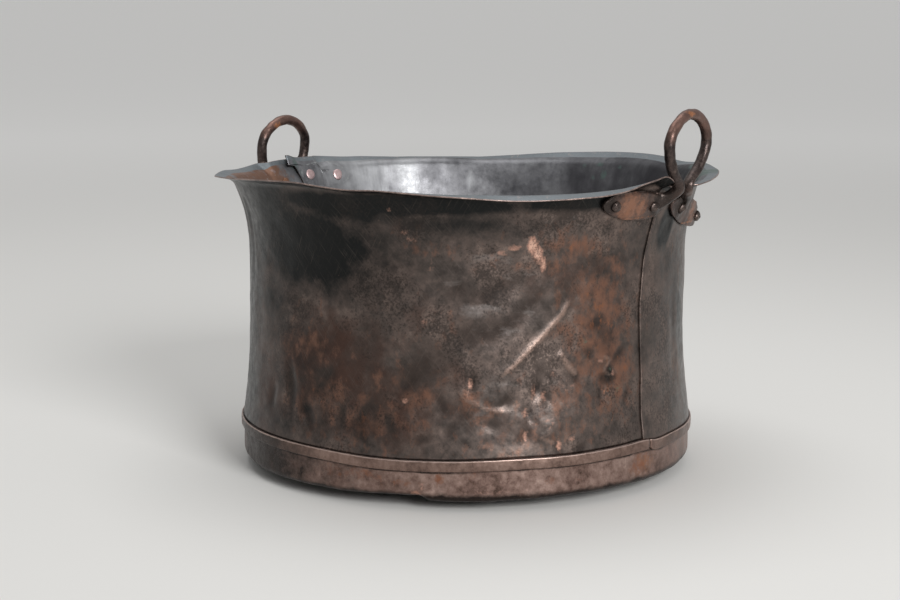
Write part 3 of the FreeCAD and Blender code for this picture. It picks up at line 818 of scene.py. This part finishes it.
def wall_spot(angle, z, out, lap=None):
    """Points this far out from the beaten wall's outer face, or from its inner one with a lap,
    and the outward directions there."""
    even = z
    for _ in range(6):
        even = even - (lifted(even, angle) - z)
    lean = np.arcsin(np.clip((even - WAIST_HIGH) / FLARE_RADIUS, 0, math.sin(FLARE_LEAN)))
    points = polar_points(wall_radius(even), angle, z)
    turn = np.radians(angle)
    outward = np.stack([np.cos(lean) * np.cos(turn), np.cos(lean) * np.sin(turn), -np.sin(lean)],
                       axis=-1)
    face = layer_at(angle, z) if lap is None else layer_at(angle, z, lap) - SHEET
    push = face + beating(points, angle, z) + out
    return points + outward * push[..., None], outward


def rim_reach(angle, z):
    """Radius that just clears the rim's bend from outside, or 0 above and below it."""
    above = z - FLARE_TOP - rim_lift(angle)
    found = np.zeros_like(z)
    steps = np.linspace(0, 1, 15)
    for low, high in zip(steps, steps[1:]):
        out_low, rise_low, _ = rim_part(low, angle)
        out_high, rise_high, _ = rim_part(high, angle)
        share = (above - rise_low) / np.maximum(rise_high - rise_low, 1e-6)
        here = (share >= 0) & (share < 1)
        found[here] = (FLARE_REACH + RIM_CLEARANCE + out_low + share * (out_high - out_low))[here]
    return found


def palm_of(handle, side):
    """A palm's values by name."""
    return dict(zip(PALM_VALUES, handle["palms"][side > 0]))


def palm_height(handle, side, distance):
    """Height of a palm's middle line at a distance from the handle's middle."""
    palm = palm_of(handle, side)
    past_rivet = distance - handle["rivets"][0]
    return RIM_HEIGHT + (past_rivet * math.tan(math.radians(palm["climb"])) - palm["drop"]) * mm


def palm_lift(handle, side, distance):
    """How far a palm stands off the wall at a distance from the handle's middle."""
    return palm_of(handle, side)["stands_off"] * smooth(distance, *handle["rivets"]) * mm


def palm_angle(handle, side, distance):
    """Angle round the vessel at a distance from the handle's middle."""
    return handle["angle"] + side * np.degrees(np.arcsin(distance * mm / PALM_REACH))


def skinned(rings, points, faces):
    """Adds a closed skin over a row of rings to the lists of points and faces."""
    count, around = rings.shape[:2]
    index = len(points) + np.arange(count * around).reshape(count, around)
    points.extend(rings.reshape(-1, 3).tolist())
    for low, high in zip(index, index[1:]):
        for c in range(around):
            faces.append((low[c], low[c - 1], high[c - 1], high[c]))
    faces.append(tuple(index[0]))
    faces.append(tuple(index[-1][::-1]))


def turned_about(points, angle):
    """Points turned round the vessel's axis."""
    turn = math.radians(angle)
    x, y, z = np.moveaxis(points, -1, 0)
    return np.stack([x * math.cos(turn) - y * math.sin(turn),
                     x * math.sin(turn) + y * math.cos(turn), z], axis=-1)


def half_loop(handle):
    """The bar's middle line from the crown down one side, in steps of a few millimetres."""
    lean = math.radians(handle["lean"])
    upright = np.array([math.sin(lean), 0, math.cos(lean)])
    rise = handle["crown_rise"] * mm / math.cos(lean)
    place = np.array([LEG_RADIUS, 0, RIM_HEIGHT]) + rise * upright
    heading = 0.0
    line = [place]
    for radius, amount in handle["loop"]:
        turn = math.radians(amount) if radius else 0.0
        length = abs(turn) * radius if radius else amount
        steps = max(3, round(length / 3))
        for _ in range(steps):
            heading += turn / steps / 2
            ahead = np.array([0, math.cos(heading), 0]) - math.sin(heading) * upright
            place = place + ahead * length / steps * mm
            heading += turn / steps / 2
            line.append(place)
    return line


def stem(handle, side, line):
    """Points and radii from the leg's end into its palm, drawn out thinner as it goes."""
    past_root, rise, out = np.array(STEM_SPOTS).T
    distance = handle["root"][side > 0] + past_root
    height = palm_height(handle, side, distance) + palm_of(handle, side)["root"] * rise * mm
    root, _ = wall_spot(palm_angle(handle, side, distance), height, out * mm)
    marks = np.array([line[-5], line[-1]] + list(turned_about(root, -handle["angle"])))
    where, sizes = np.array(STEM_RADII).T
    fine = np.linspace(0, 1, 26)[1:]
    path = np.stack([line_through(np.stack([where, marks[:, k]], 1), fine) for k in range(3)], 1)
    return path, np.interp(fine, where, sizes * mm)


def bar_rings(line, radii, flat, spread):
    """Rings of 20 points round a line, flattened where the bar was beaten thinner and spread
    where it runs out into its palm."""
    ahead = np.gradient(line, axis=0)
    ahead /= np.linalg.norm(ahead, axis=1, keepdims=True)
    out = np.array([1.0, 0, 0]) - ahead * ahead[:, :1]
    out /= np.linalg.norm(out, axis=1, keepdims=True)
    aside = np.cross(ahead, out)
    turn = np.radians(np.arange(0, 360, 18))[None, :, None]
    size, flat, spread = (v[:, None, None] for v in (radii, flat, spread))
    thick = np.cos(turn) * (1 + 0.10 * flat - 0.45 * spread)
    wide = np.sin(turn) * (1 - 0.28 * flat + 0.8 * spread)
    return line[:, None] + size * (out[:, None] * thick + aside[:, None] * wide)


def palm_rings(handle, side):
    """Rings across a leaf-shaped palm from its inner to its outer end."""
    palm = palm_of(handle, side)
    share = (1 - np.cos(np.linspace(0.02, math.pi - 0.02, 56))) / 2
    width = np.sqrt(1 - np.abs(2 * share - 1) ** 2.2)
    across = np.linspace(-1, 1, 22)
    distance = (palm["start"] + share * palm["length"])[:, None] + 0 * across
    height = palm_height(handle, side, distance) + across * width[:, None] * PALM_HALF_HEIGHT
    angle = palm_angle(handle, side, distance)
    crowned = (1 - across ** 4) * np.minimum(1, width[:, None] * 1.3)
    swell = PALM_THICKNESS * (0.66 + 0.34 * crowned)
    proud = LAP_SHIFT - layer_at(angle, height)
    stand_off = palm_lift(handle, side, distance)
    back = wall_spot(angle, height, PALM_GAP + stand_off)[0]
    front = wall_spot(angle, height, PALM_GAP + stand_off + swell + proud)[0]
    rings = np.concatenate([front, back[:, ::-1]], axis=1)
    return turned_about(rings if side < 0 else rings[:, ::-1], -handle["angle"])


def low_down(z):
    """1 where a leg meets the rim, and 0 up on the loop."""
    return 1 - smooth(z, RIM_HEIGHT - 2 * mm, RIM_HEIGHT + 42 * mm)


def handle_skin(handle):
    """Points and faces of a handle's bar and its two palms, before they are forged together."""
    half = half_loop(handle)
    points, faces = [], []
    lines, radii, spreads = [], [], []
    for side in (-1, 1):
        drawn_in = palm_of(handle, side)["drawn_in"] * mm
        leg = [p * [1, side, 1] - [0, side * drawn_in * low_down(p[2]), 0] for p in half]
        path, sizes = stem(handle, side, leg)
        lines.append(np.concatenate([leg[:-4], path]))
        radii.append(np.concatenate([np.full(len(leg) - 4, BAR_RADIUS), sizes]))
        spreads.append(np.concatenate([np.zeros(len(leg) - 4),
                                       smooth(np.linspace(0, 1, len(sizes)), 0.4, 0.9)]))
        skinned(palm_rings(handle, side), points, faces)
    line, radius, spread = (np.concatenate([first[:0:-1], second])
                            for first, second in (lines, radii, spreads))
    flat = [palm_of(handle, side)["flat"] for side in (-1, 1)]
    flat = low_down(line[:, 2]) * np.where(line[:, 1] < 0, flat[0], flat[1])
    skinned(bar_rings(line, radius, flat, spread), points, faces)
    return turned_about(np.array(points), handle["angle"]), faces


def forge_together(piece):
    """Joins a piece's closed skins into one and eases its surface."""
    fuse = piece.modifiers.new("forged_together", "REMESH")
    fuse.mode = "VOXEL"
    fuse.voxel_size = VOXEL
    ease = piece.modifiers.new("eased", "SMOOTH")
    ease.factor = 0.5
    ease.iterations = 4
    bpy.context.view_layer.update()
    forged = piece.evaluated_get(bpy.context.evaluated_depsgraph_get())
    mesh = bpy.data.meshes.new_from_object(forged)
    piece.modifiers.clear()
    piece.data = mesh


def vertex_vectors(mesh, kind):
    """The places or the outward directions of a mesh's vertices."""
    found = np.empty(len(mesh.vertices) * 3, np.float32)
    mesh.vertices.foreach_get(kind, found)
    return found.reshape(-1, 3).astype(float)


def forged_handle(name, handle):
    """A bar bent to a loop, its ends beaten out to palms that lie on the wall."""
    points, faces = handle_skin(handle)
    piece = new_piece(name + "_forged", points, faces)
    forge_together(piece)
    mesh = piece.data
    spots = vertex_vectors(mesh, "co")
    normals = vertex_vectors(mesh, "normal")
    angle = np.degrees(np.arctan2(spots[:, 1], spots[:, 0]))
    reach = np.hypot(spots[:, 0], spots[:, 1])
    on_palm = 1 - smooth(spots[:, 2], RIM_HEIGHT - 6 * mm, RIM_HEIGHT + 4 * mm)
    facing = np.sum(normals[:, :2] * spots[:, :2], axis=1) / reach
    free = np.where(on_palm > 0.5, smooth(facing, -0.2, 0.3), 1.0)
    spots += normals * (beaten_by(spots, BAR_BLOWS) * free)[:, None]
    face, _ = wall_spot(angle, spots[:, 2], PALM_GAP)
    short = np.hypot(face[:, 0], face[:, 1]) / np.hypot(spots[:, 0], spots[:, 1])
    beside_wall = (short > 1) & (spots[:, 2] < FLARE_TOP)
    spots[beside_wall, :2] *= short[beside_wall, None]
    inside_rim = rim_reach(angle, spots[:, 2]) / np.hypot(spots[:, 0], spots[:, 1])
    spots[:, :2] *= np.clip(inside_rim, 1, 1.04)[:, None]
    mesh.vertices.foreach_set("co", spots.astype(np.float32).ravel())
    mesh.polygons.foreach_set("use_smooth", [True] * len(mesh.polygons))
    mesh.update()
    crown = handle["crown_rise"] * mm
    marks = marked(PALM_MARKS, angle, spots[:, 2])
    marks["palm"] = on_palm
    # Partly wear, partly painted highlight: lighter towards the top of each loop.
    marks["crown_wear_and_highlight"] = smooth(spots[:, 2] - RIM_HEIGHT, 0.35 * crown, 0.95 * crown)
    store(piece, marks)
    return stands_for(piece, name)


# ---- rivets -------------------------------------------------------------------------

DOME_RADIUS = 6.75 * mm
DOME_HEIGHT = 5.2 * mm
SHANK_RADIUS = 4 * mm
HEAD_RADIUS = 7.5 * mm
HEAD_HEIGHT = 1.6 * mm
RIVET_SIDES = 36


def rivet(name, handle, side, distance, number):
    """A copper rivet: its end hammered to a dome outside, its flat head inside."""
    angle = np.array([palm_angle(handle, side, distance)])
    height = np.array([palm_height(handle, side, distance)])
    proud = float(LAP_SHIFT - layer_at(angle, height)[0]) + palm_lift(handle, side, distance)
    seat, outward = wall_spot(angle, height, PALM_GAP + PALM_THICKNESS + proud - 0.2 * mm)
    inside, _ = wall_spot(angle, height, 0.0, SEAM_LAP)
    seat, outward, inside = seat[0], outward[0], inside[0]
    grip = float((seat - inside) @ outward)
    dome = [(DOME_RADIUS * math.cos(t), DOME_HEIGHT * math.sin(t) ** 0.9)
            for t in np.radians([88, 74, 60, 46, 34, 22, 12, 4])]
    flat = [(DOME_RADIUS * 0.97, -0.1 * mm), (SHANK_RADIUS, -0.2 * mm), (SHANK_RADIUS, -grip)]
    head = [(HEAD_RADIUS * 0.96, -grip - 0.1 * mm), (HEAD_RADIUS, -grip - 0.6 * mm),
            (HEAD_RADIUS * 0.9, -grip - HEAD_HEIGHT + 0.3 * mm),
            (HEAD_RADIUS * 0.55, -grip - HEAD_HEIGHT), (HEAD_RADIUS * 0.15, -grip - HEAD_HEIGHT)]
    aside = np.cross([0, 0, 1.0], outward)
    aside /= np.linalg.norm(aside)
    above = np.cross(outward, aside)
    turn = np.radians(np.arange(RIVET_SIDES) * 360 / RIVET_SIDES)[:, None]
    rings = []
    for radius, z in dome + flat + head:
        around = aside * np.cos(turn) + above * np.sin(turn)
        lopsided = 1 + 0.05 * np.cos(2 * turn + number * 1.7) + 0.03 * np.cos(3 * turn + number)
        blow = 0.5 * mm * np.cos(turn + number * 2.3) * max(z, 0) / DOME_HEIGHT
        rings.append(seat + around * radius * lopsided + outward * (z + blow))
    rings = np.array(rings)
    hit = beaten_by(rings, [(0.4, 4.5, 10 + number)])[..., None]
    rings += hit * (outward + 0.5 * (rings - seat) / DOME_RADIUS)
    points, faces = [], []
    skinned(rings, points, faces)
    in_head = len(dome + flat) * RIVET_SIDES
    kinds = [int(max(face) >= in_head) for face in faces]
    piece = new_piece(name + "_hammered", np.array(points), faces, kinds)
    return stands_for(piece, name)


handles = [forged_handle(name, handle) for name, handle in HANDLES.items()]
rivets = []
for name, handle in HANDLES.items():
    for side, side_name in ((-1, "a"), (1, "b")):
        for distance, place_name in zip(handle["rivets"], ("inner", "outer")):
            rivets.append(rivet("_".join([name, "rivet", side_name, place_name]), handle, side,
                                distance, len(rivets)))


# ---- colour and materials -----------------------------------------------------------

def paint(code):
    """A colour written as sRGB hex, as the renderer wants it."""
    parts = [int(code[i:i + 2], 16) / 255 for i in (1, 3, 5)]
    linear = [p / 12.92 if p <= 0.04045 else ((p + 0.055) / 1.055) ** 2.4 for p in parts]
    return tuple(linear) + (1.0,)


def add(tree, kind, inputs=None, **settings):
    """Adds a node with its settings; inputs gives each socket a value or another's output."""
    made = tree.nodes.new(kind)
    for name, value in settings.items():
        setattr(made, name, value)
    for socket, value in (inputs or {}).items():
        if isinstance(value, bpy.types.NodeSocket):
            tree.links.new(value, made.inputs[socket])
        else:
            made.inputs[socket].default_value = value
    return made


def new_material(name):
    """A material with its node tree and its one shader."""
    material = bpy.data.materials.new(name)
    material.use_nodes = True
    tree = material.node_tree
    tree.nodes.clear()
    shader = add(tree, "ShaderNodeBsdfPrincipled")
    add(tree, "ShaderNodeOutputMaterial", {"Surface": shader.outputs["BSDF"]})
    return material, tree, shader


def per_metre(size_mm):
    """A pattern scale that gives features of about this size, in metres."""
    return 1 / (size_mm * mm)


def tarnish(tree, body, tones, cloud_mm, mottle_mm, mottle_share=0.5):
    """Oxide that grew unevenly: broad clouds broken up by fine mottling, as a colour and as
    the number from 0 to 1 that it comes from."""
    clouds = add(tree, "ShaderNodeTexNoise", {"Vector": body, "Scale": per_metre(cloud_mm),
                                              "Detail": 4.0, "Roughness": 0.6})
    mottle = add(tree, "ShaderNodeTexNoise", {"Vector": body, "Scale": per_metre(mottle_mm),
                                              "Detail": 5.0, "Roughness": 0.7})
    uneven = add(tree, "ShaderNodeMix", {0: mottle_share, 2: clouds.outputs["Fac"],
                                         3: mottle.outputs["Fac"]}).outputs[0]
    ramp = add(tree, "ShaderNodeValToRGB", {"Fac": uneven})
    steps = ramp.color_ramp.elements
    for k, tone in enumerate(tones):
        place = 0.34 + 0.32 * k / (len(tones) - 1)
        step = steps[0] if k == 0 else steps[1] if k == 1 else steps.new(place)
        step.position = place
        step.color = paint(tone)
    return ramp.outputs["Color"], mottle.outputs["Fac"]


def laid_over(tree, colour, tone, where, start, full, amount=1.0):
    """A tone over a colour, as far as a value has come on its way from start to full."""
    cover = add(tree, "ShaderNodeMapRange", {"Value": where, "From Min": start,
                                             "From Max": full, "To Max": amount})
    return add(tree, "ShaderNodeMix", {0: cover.outputs["Result"], 6: colour, 7: paint(tone)},
               data_type="RGBA").outputs[2]


def marks_laid_over(tree, colour, layers, flat):
    """Lays finishes, and painted light and shade, over a colour where the piece's marks ask for
    them.

    A layer is a mark's name, its colour, its grain in mm across and up, how ragged its edge
    is, and where it starts and is full."""
    for mark, tone, grain, stretch, ragged, start, full in layers:
        asked = add(tree, "ShaderNodeAttribute", attribute_name=mark).outputs["Fac"]
        drawn = add(tree, "ShaderNodeMapping", {"Vector": flat, "Scale": (1, 1 / stretch, 1)})
        grains = add(tree, "ShaderNodeTexNoise", {"Vector": drawn.outputs["Vector"],
                                                  "Scale": per_metre(grain), "Detail": 5.0,
                                                  "Roughness": 0.65})
        centred = add(tree, "ShaderNodeMath", {0: grains.outputs["Fac"], 1: 0.5},
                      operation="SUBTRACT").outputs[0]
        broken = add(tree, "ShaderNodeMath", {0: centred, 1: ragged, 2: asked},
                     operation="MULTIPLY_ADD").outputs[0]
        colour = laid_over(tree, colour, tone, broken, start, full)
    return colour


def scratched(tree, colour, flat, tone, width_mm, length_mm, amount, turn):
    """Fine drawn-out scuffs over a colour."""
    drawn = add(tree, "ShaderNodeMapping", {"Vector": flat, "Rotation": (0, 0, turn),
                                            "Scale": (1, length_mm / width_mm, 1)},
                vector_type="TEXTURE")
    lines = add(tree, "ShaderNodeTexNoise", {"Vector": drawn.outputs["Vector"],
                                             "Scale": per_metre(width_mm), "Detail": 2.0})
    return laid_over(tree, colour, tone, lines.outputs["Fac"], 0.6, 0.78, amount)


def speckled(tree, colour, body, tone, size_mm, amount):
    """Small dark specks over a colour, thicker in some places than in others."""
    specks = add(tree, "ShaderNodeTexNoise", {"Vector": body, "Scale": per_metre(size_mm),
                                              "Detail": 3.0, "Roughness": 0.7})
    gathered = add(tree, "ShaderNodeTexNoise", {"Vector": body, "Scale": per_metre(60),
                                                "Detail": 2.0})
    both = add(tree, "ShaderNodeMath", {0: specks.outputs["Fac"], 1: gathered.outputs["Fac"]},
               operation="ADD")
    return laid_over(tree, colour, tone, both.outputs[0], 1.06, 1.22, amount)


def finish_shader(tree, shader, colour, grain, metallic, low_rough, high_rough):
    """Colour, metal and a roughness that follows the grain of the oxide."""
    tree.links.new(colour, shader.inputs["Base Color"])
    shader.inputs["Metallic"].default_value = metallic
    rough = add(tree, "ShaderNodeMapRange", {"Value": grain, "From Min": 0.35, "From Max": 0.65,
                                             "To Min": low_rough, "To Max": high_rough})
    tree.links.new(rough.outputs["Result"], shader.inputs["Roughness"])


def pitted(tree, shader, body, broad_mm, fine_mm, depth_mm, strength):
    """Hammer marks and pits as bump."""
    marks = add(tree, "ShaderNodeTexVoronoi", {"Vector": body, "Scale": per_metre(broad_mm)},
                feature="SMOOTH_F1")
    pits = add(tree, "ShaderNodeTexNoise", {"Vector": body, "Scale": per_metre(fine_mm),
                                            "Detail": 4.0, "Roughness": 0.6})
    relief = add(tree, "ShaderNodeMath", {0: marks.outputs["Distance"], 1: 0.5,
                                          2: pits.outputs["Fac"]}, operation="MULTIPLY_ADD")
    bump = add(tree, "ShaderNodeBump", {"Height": relief.outputs[0], "Strength": strength,
                                        "Distance": depth_mm * mm})
    tree.links.new(bump.outputs["Normal"], shader.inputs["Normal"])


def wall_copper():
    """Rolled sheet copper, hammered and fire-blackened: a dark brown oxide skin that still shines
    softly, dull where the fire blackened it and pink where it is rubbed through. Painted over it
    are shade under the flange, between the right handle's palms, on the left side and in the
    dents, a soft reflection on the lumps, and highlights on the knocks and along the folds."""
    material, tree, shader = new_material("fire_blackened_sheet_copper")
    flat = add(tree, "ShaderNodeUVMap", uv_map="flat_sheet").outputs["UV"]
    body = add(tree, "ShaderNodeTexCoord").outputs["Object"]
    colour, grain = tarnish(tree, body, ["#3a3431", "#4f4743", "#655852", "#807068"], 62, 11, 0.4)
    colour = marks_laid_over(tree, colour, [
        ("brown", "#4b3831", 26, 1.4, 1.5, 0.3, 0.9),
        ("rust", "#7a594a", 15, 1.6, 2.6, 0.4, 0.95),
        # Painted shade in the dents.
        ("dent_shade", "#3f3632", 12, 1.0, 1.0, 0.15, 1.0),
        ("rust", "#8a5b42", 9, 2.0, 3.4, 0.95, 1.5),
        ("streaked", "#7a5d4b", 5, 18.0, 4.0, 1.05, 1.4),
        ("streaked", "#353a3b", 8, 16.0, 4.0, 1.05, 1.4),
        # Soot with painted shade; the blacker second layer shows only at the strongest patches,
        # which are painted shadow under the flange and between the right handle's palms.
        ("soot_and_shade", "#1c1d1d", 24, 1.0, 1.0, 0.2, 0.8),
        ("soot_and_shade", "#0b0b0b", 10, 1.0, 0.6, 1.4, 2.0),
        # Painted reflection on the lumps.
        ("painted_sheen", "#7a7370", 24, 0.5, 2.2, 0.5, 1.3),
        # Painted highlight along the folds, partly wear.
        ("ridge_wear_and_highlight", "#917a6f", 6, 1.0, 1.0, 0.3, 0.95),
        # Pink of rubbed-through copper, and painted glints where the knocks catch the light.
        ("bare_and_highlight", "#b98e7c", 6, 1.0, 2.2, 0.4, 1.2),
        ("bare_and_highlight", "#cfa794", 3, 1.0, 1.4, 1.0, 1.5),
        ("verdigris", "#5b6a5c", 3, 1.0, 2.0, 0.4, 1.0)], flat)
    colour = speckled(tree, colour, body, "#2a2624", 3, 0.65)
    colour = scratched(tree, colour, flat, "#91857d", 1.4, 40, 0.14, 0.7)
    colour = scratched(tree, colour, flat, "#8a7a70", 1.6, 30, 0.12, -0.5)
    finish_shader(tree, shader, colour, grain, 0.8, 0.28, 0.44)
    pitted(tree, shader, body, 26, 5, 0.5, 0.4)
    return material


def inside_copper():
    """The inside: a worn tin wash over copper, grey and softly reflecting, gone brown where the
    copper shows, with a bloom of verdigris where water stood. Its bright upright streaks are
    painted reflection, and the light lines round the palms' prints are painted highlight."""
    material, tree, shader = new_material("worn_tin_washed_copper")
    flat = add(tree, "ShaderNodeUVMap", uv_map="flat_sheet").outputs["UV"]
    body = add(tree, "ShaderNodeTexCoord").outputs["Object"]
    colour, grain = tarnish(tree, body, ["#4f4f52", "#68686b", "#7f7f82", "#929395"], 50, 9, 0.3)
    colour = marks_laid_over(tree, colour, [
        ("tin_dark", "#37363a", 26, 3.0, 0.7, 0.1, 0.8),
        # Painted reflection streaks.
        ("tin_painted_reflection", "#98999b", 10, 8.0, 0.8, 0.3, 0.8),
        ("tin_gone", "#7c5e4e", 14, 1.0, 1.6, 0.3, 0.6),
        ("tin_gone", "#8c7a76", 10, 1.0, 4.0, 1.1, 1.6),
        ("tin_verdigris", "#5b6a67", 7, 1.0, 2.0, 0.4, 1.0),
        # Painted highlight round the palms' prints.
        ("palm_line", "#aaadac", 7, 1.0, 2.6, 0.75, 1.6),
        ("flange", "#757b7f", 6, 1.0, 0.6, 0.4, 0.7),
        ("flange", "#a39894", 5, 1.0, 3.0, 1.2, 1.9),
        ("tin_verdigris", "#56655f", 9, 1.0, 2.0, 0.6, 1.3)], flat)
    finish_shader(tree, shader, colour, grain, 0.7, 0.38, 0.55)
    pitted(tree, shader, body, 24, 5, 0.4, 0.3)
    return material


def plain_copper(name, tones, size_mm, low_rough, high_rough, layers=()):
    """Handled copper with a brown skin and the piece's marks laid over it; the lighter tone on the
    hoop's top edge is painted highlight, and on the handles' crowns it is wear and painted
    highlight.
    """
    material, tree, shader = new_material(name)
    body = add(tree, "ShaderNodeTexCoord").outputs["Object"]
    colour, grain = tarnish(tree, body, tones, size_mm, size_mm / 5)
    colour = marks_laid_over(tree, colour, layers, body)
    colour = scratched(tree, colour, body, "#a89488", 0.9, 12, 0.35, 0.4)
    finish_shader(tree, shader, colour, grain, 0.8, low_rough, high_rough)
    pitted(tree, shader, body, 8, 2.5, 0.4, 0.45)
    return material


wall_finish = wall_copper()
inside_finish = inside_copper()
# Partly rubbed copper, partly painted highlight: its light tones paint the bright line along the
# rim's edge.
edge_finish = plain_copper(
    "rubbed_copper_edge_with_painted_highlight", ["#574c49", "#8a7872", "#b8a198"], 20, 0.3, 0.45)
pan_finish = plain_copper(
    "brown_oxidised_sheet_copper", ["#493831", "#715b53", "#8d766d", "#a48e84"], 40, 0.32, 0.5,
    [("rust", "#875a45", 9, 1.0, 2.2, 0.5, 1.2), ("streaked", "#9c6b48", 4, 0.2, 3.0, 0.9, 1.5),
     # Soot with painted shade, and a light tone that is painted highlight at the pan's corner.
     ("soot_and_shade", "#2b2320", 20, 1.0, 1.6, 0.2, 0.9), ("bare_and_highlight", "#b58a78", 4, 1.0, 1.4, 0.3, 0.8)])
hoop_finish = plain_copper(
    "brown_oxidised_copper_strip", ["#54433c", "#786259", "#917a70"], 30, 0.3, 0.46,
    # Soot with painted shade, and a painted highlight on the top edge.
    [("soot_and_shade", "#342a26", 20, 1.0, 1.2, 0.2, 0.9), ("worn", "#bba49a", 9, 1.0, 1.0, 0.25, 0.8)])
bar_finish = plain_copper(
    "dark_forged_copper_bar", ["#262120", "#3b3230", "#4f4440", "#76675f"], 22, 0.3, 0.46,
    # Lighter crowns: wear and painted highlight.
    [("crown_wear_and_highlight", "#7c5f55", 12, 1.0, 1.2, 0.35, 1.2), ("palm", "#6a564e", 14, 1.0, 2.0, 0.7, 1.5),
     ("rust", "#8f6753", 5, 1.0, 1.4, 0.35, 0.9), ("dark", "#37302d", 8, 1.0, 1.2, 0.3, 0.8),
     # Orange spots, and painted highlights on the palms' edges.
     ("bare_and_highlight", "#bd7f58", 3, 1.0, 1.4, 0.35, 0.9)])
rivet_finish = plain_copper(
    "hammered_copper_rivet", ["#2c2624", "#4a403c", "#73665f"], 9, 0.28, 0.42)
pink_head_finish = plain_copper(
    "scoured_copper_rivet_head", ["#a98d8d", "#c9afae", "#d8c6c5"], 9, 0.35, 0.5)
brown_head_finish = plain_copper(
    "brown_copper_rivet_head", ["#6a4a38", "#8c6650", "#a58674"], 9, 0.35, 0.5)


def dress(piece, *materials):
    """Gives a piece its finishes, in the order of its faces' numbers."""
    for material in materials:
        piece.data.materials.append(material)


for sheet in (front_wall, rear_wall):
    dress(sheet, wall_finish, inside_finish, edge_finish)
dress(pan, pan_finish, inside_finish, edge_finish)
dress(hoop, hoop_finish)
for handle in handles:
    dress(handle, bar_finish)
for piece in rivets:
    scoured = piece.name.startswith("left_handle_rivet_a")
    dress(piece, rivet_finish, pink_head_finish if scoured else brown_head_finish)


# ---- floor and light ----------------------------------------------------------------

FLOOR_SIZE = 1500                          # metres, so that its edge is at the horizon
# The floor glows a little in the distance, seen or mirrored, but lights nothing: from and to
# how far off in metres, and how strongly.
GLOW_NEAR, GLOW_FAR, GLOW = 1.0, 6.0, 0.2
WORLD_STRENGTH = 0.42
LAMP_TARGET = (0, 0, 0.25)
# Each lamp: name, place and size in metres, watts, and the spread of its light in degrees.
LAMPS = [("key_box", (4.4, -2.43, 2.32), (2.15, 2.15), 34, 60),
         ("sky_box", (-0.5, 0.3, 3.2), (2.4, 2.4), 36, 180)]


def pale_floor():
    """The plain matt floor that the vessel stands on."""
    bpy.ops.mesh.primitive_plane_add(size=FLOOR_SIZE, location=(0, 0, 0))
    floor = bpy.context.object
    floor.name = "floor"
    material, tree, shader = new_material("matt_pale_backdrop")
    shader.inputs["Base Color"].default_value = paint("#dcdbd8")
    shader.inputs["Roughness"].default_value = 0.9
    place = add(tree, "ShaderNodeTexCoord").outputs["Object"]
    reach = add(tree, "ShaderNodeVectorMath", {0: place}, operation="LENGTH").outputs["Value"]
    glow = add(tree, "ShaderNodeMapRange", {"Value": reach, "From Min": GLOW_NEAR,
                                            "From Max": GLOW_FAR, "To Max": GLOW},
               interpolation_type="SMOOTHSTEP")
    path = add(tree, "ShaderNodeLightPath").outputs
    seen = path["Is Camera Ray"]
    for kind in ("Is Glossy Ray", "Is Transmission Ray"):
        seen = add(tree, "ShaderNodeMath", {0: seen, 1: path[kind]},
                   operation="MAXIMUM").outputs[0]
    shown = add(tree, "ShaderNodeMath", {0: glow.outputs["Result"], 1: seen}, operation="MULTIPLY")
    shader.inputs["Emission Color"].default_value = paint("#ffffff")
    tree.links.new(shown.outputs[0], shader.inputs["Emission Strength"])
    dress(floor, material)


def soft_box(name, place, size, power, spread):
    """A square lamp aimed at the middle of the vessel."""
    data = bpy.data.lights.new(name, "AREA")
    data.shape = "RECTANGLE"
    data.size, data.size_y = size
    data.energy = power
    data.spread = math.radians(spread)
    lamp = placed(name, data)
    lamp.location = place
    aim = Vector(LAMP_TARGET) - Vector(place)
    lamp.rotation_euler = aim.to_track_quat("-Z", "Y").to_euler()


def studio_world():
    """Even white light from all round."""
    world = bpy.data.worlds.new("studio")
    bpy.context.scene.world = world
    world.use_nodes = True
    tree = world.node_tree
    tree.nodes.clear()
    light = add(tree, "ShaderNodeBackground", {"Color": paint("#ffffff"),
                                               "Strength": WORLD_STRENGTH})
    add(tree, "ShaderNodeOutputWorld", {"Surface": light.outputs[0]})


pale_floor()
studio_world()
for lamp in LAMPS:
    soft_box(*lamp)
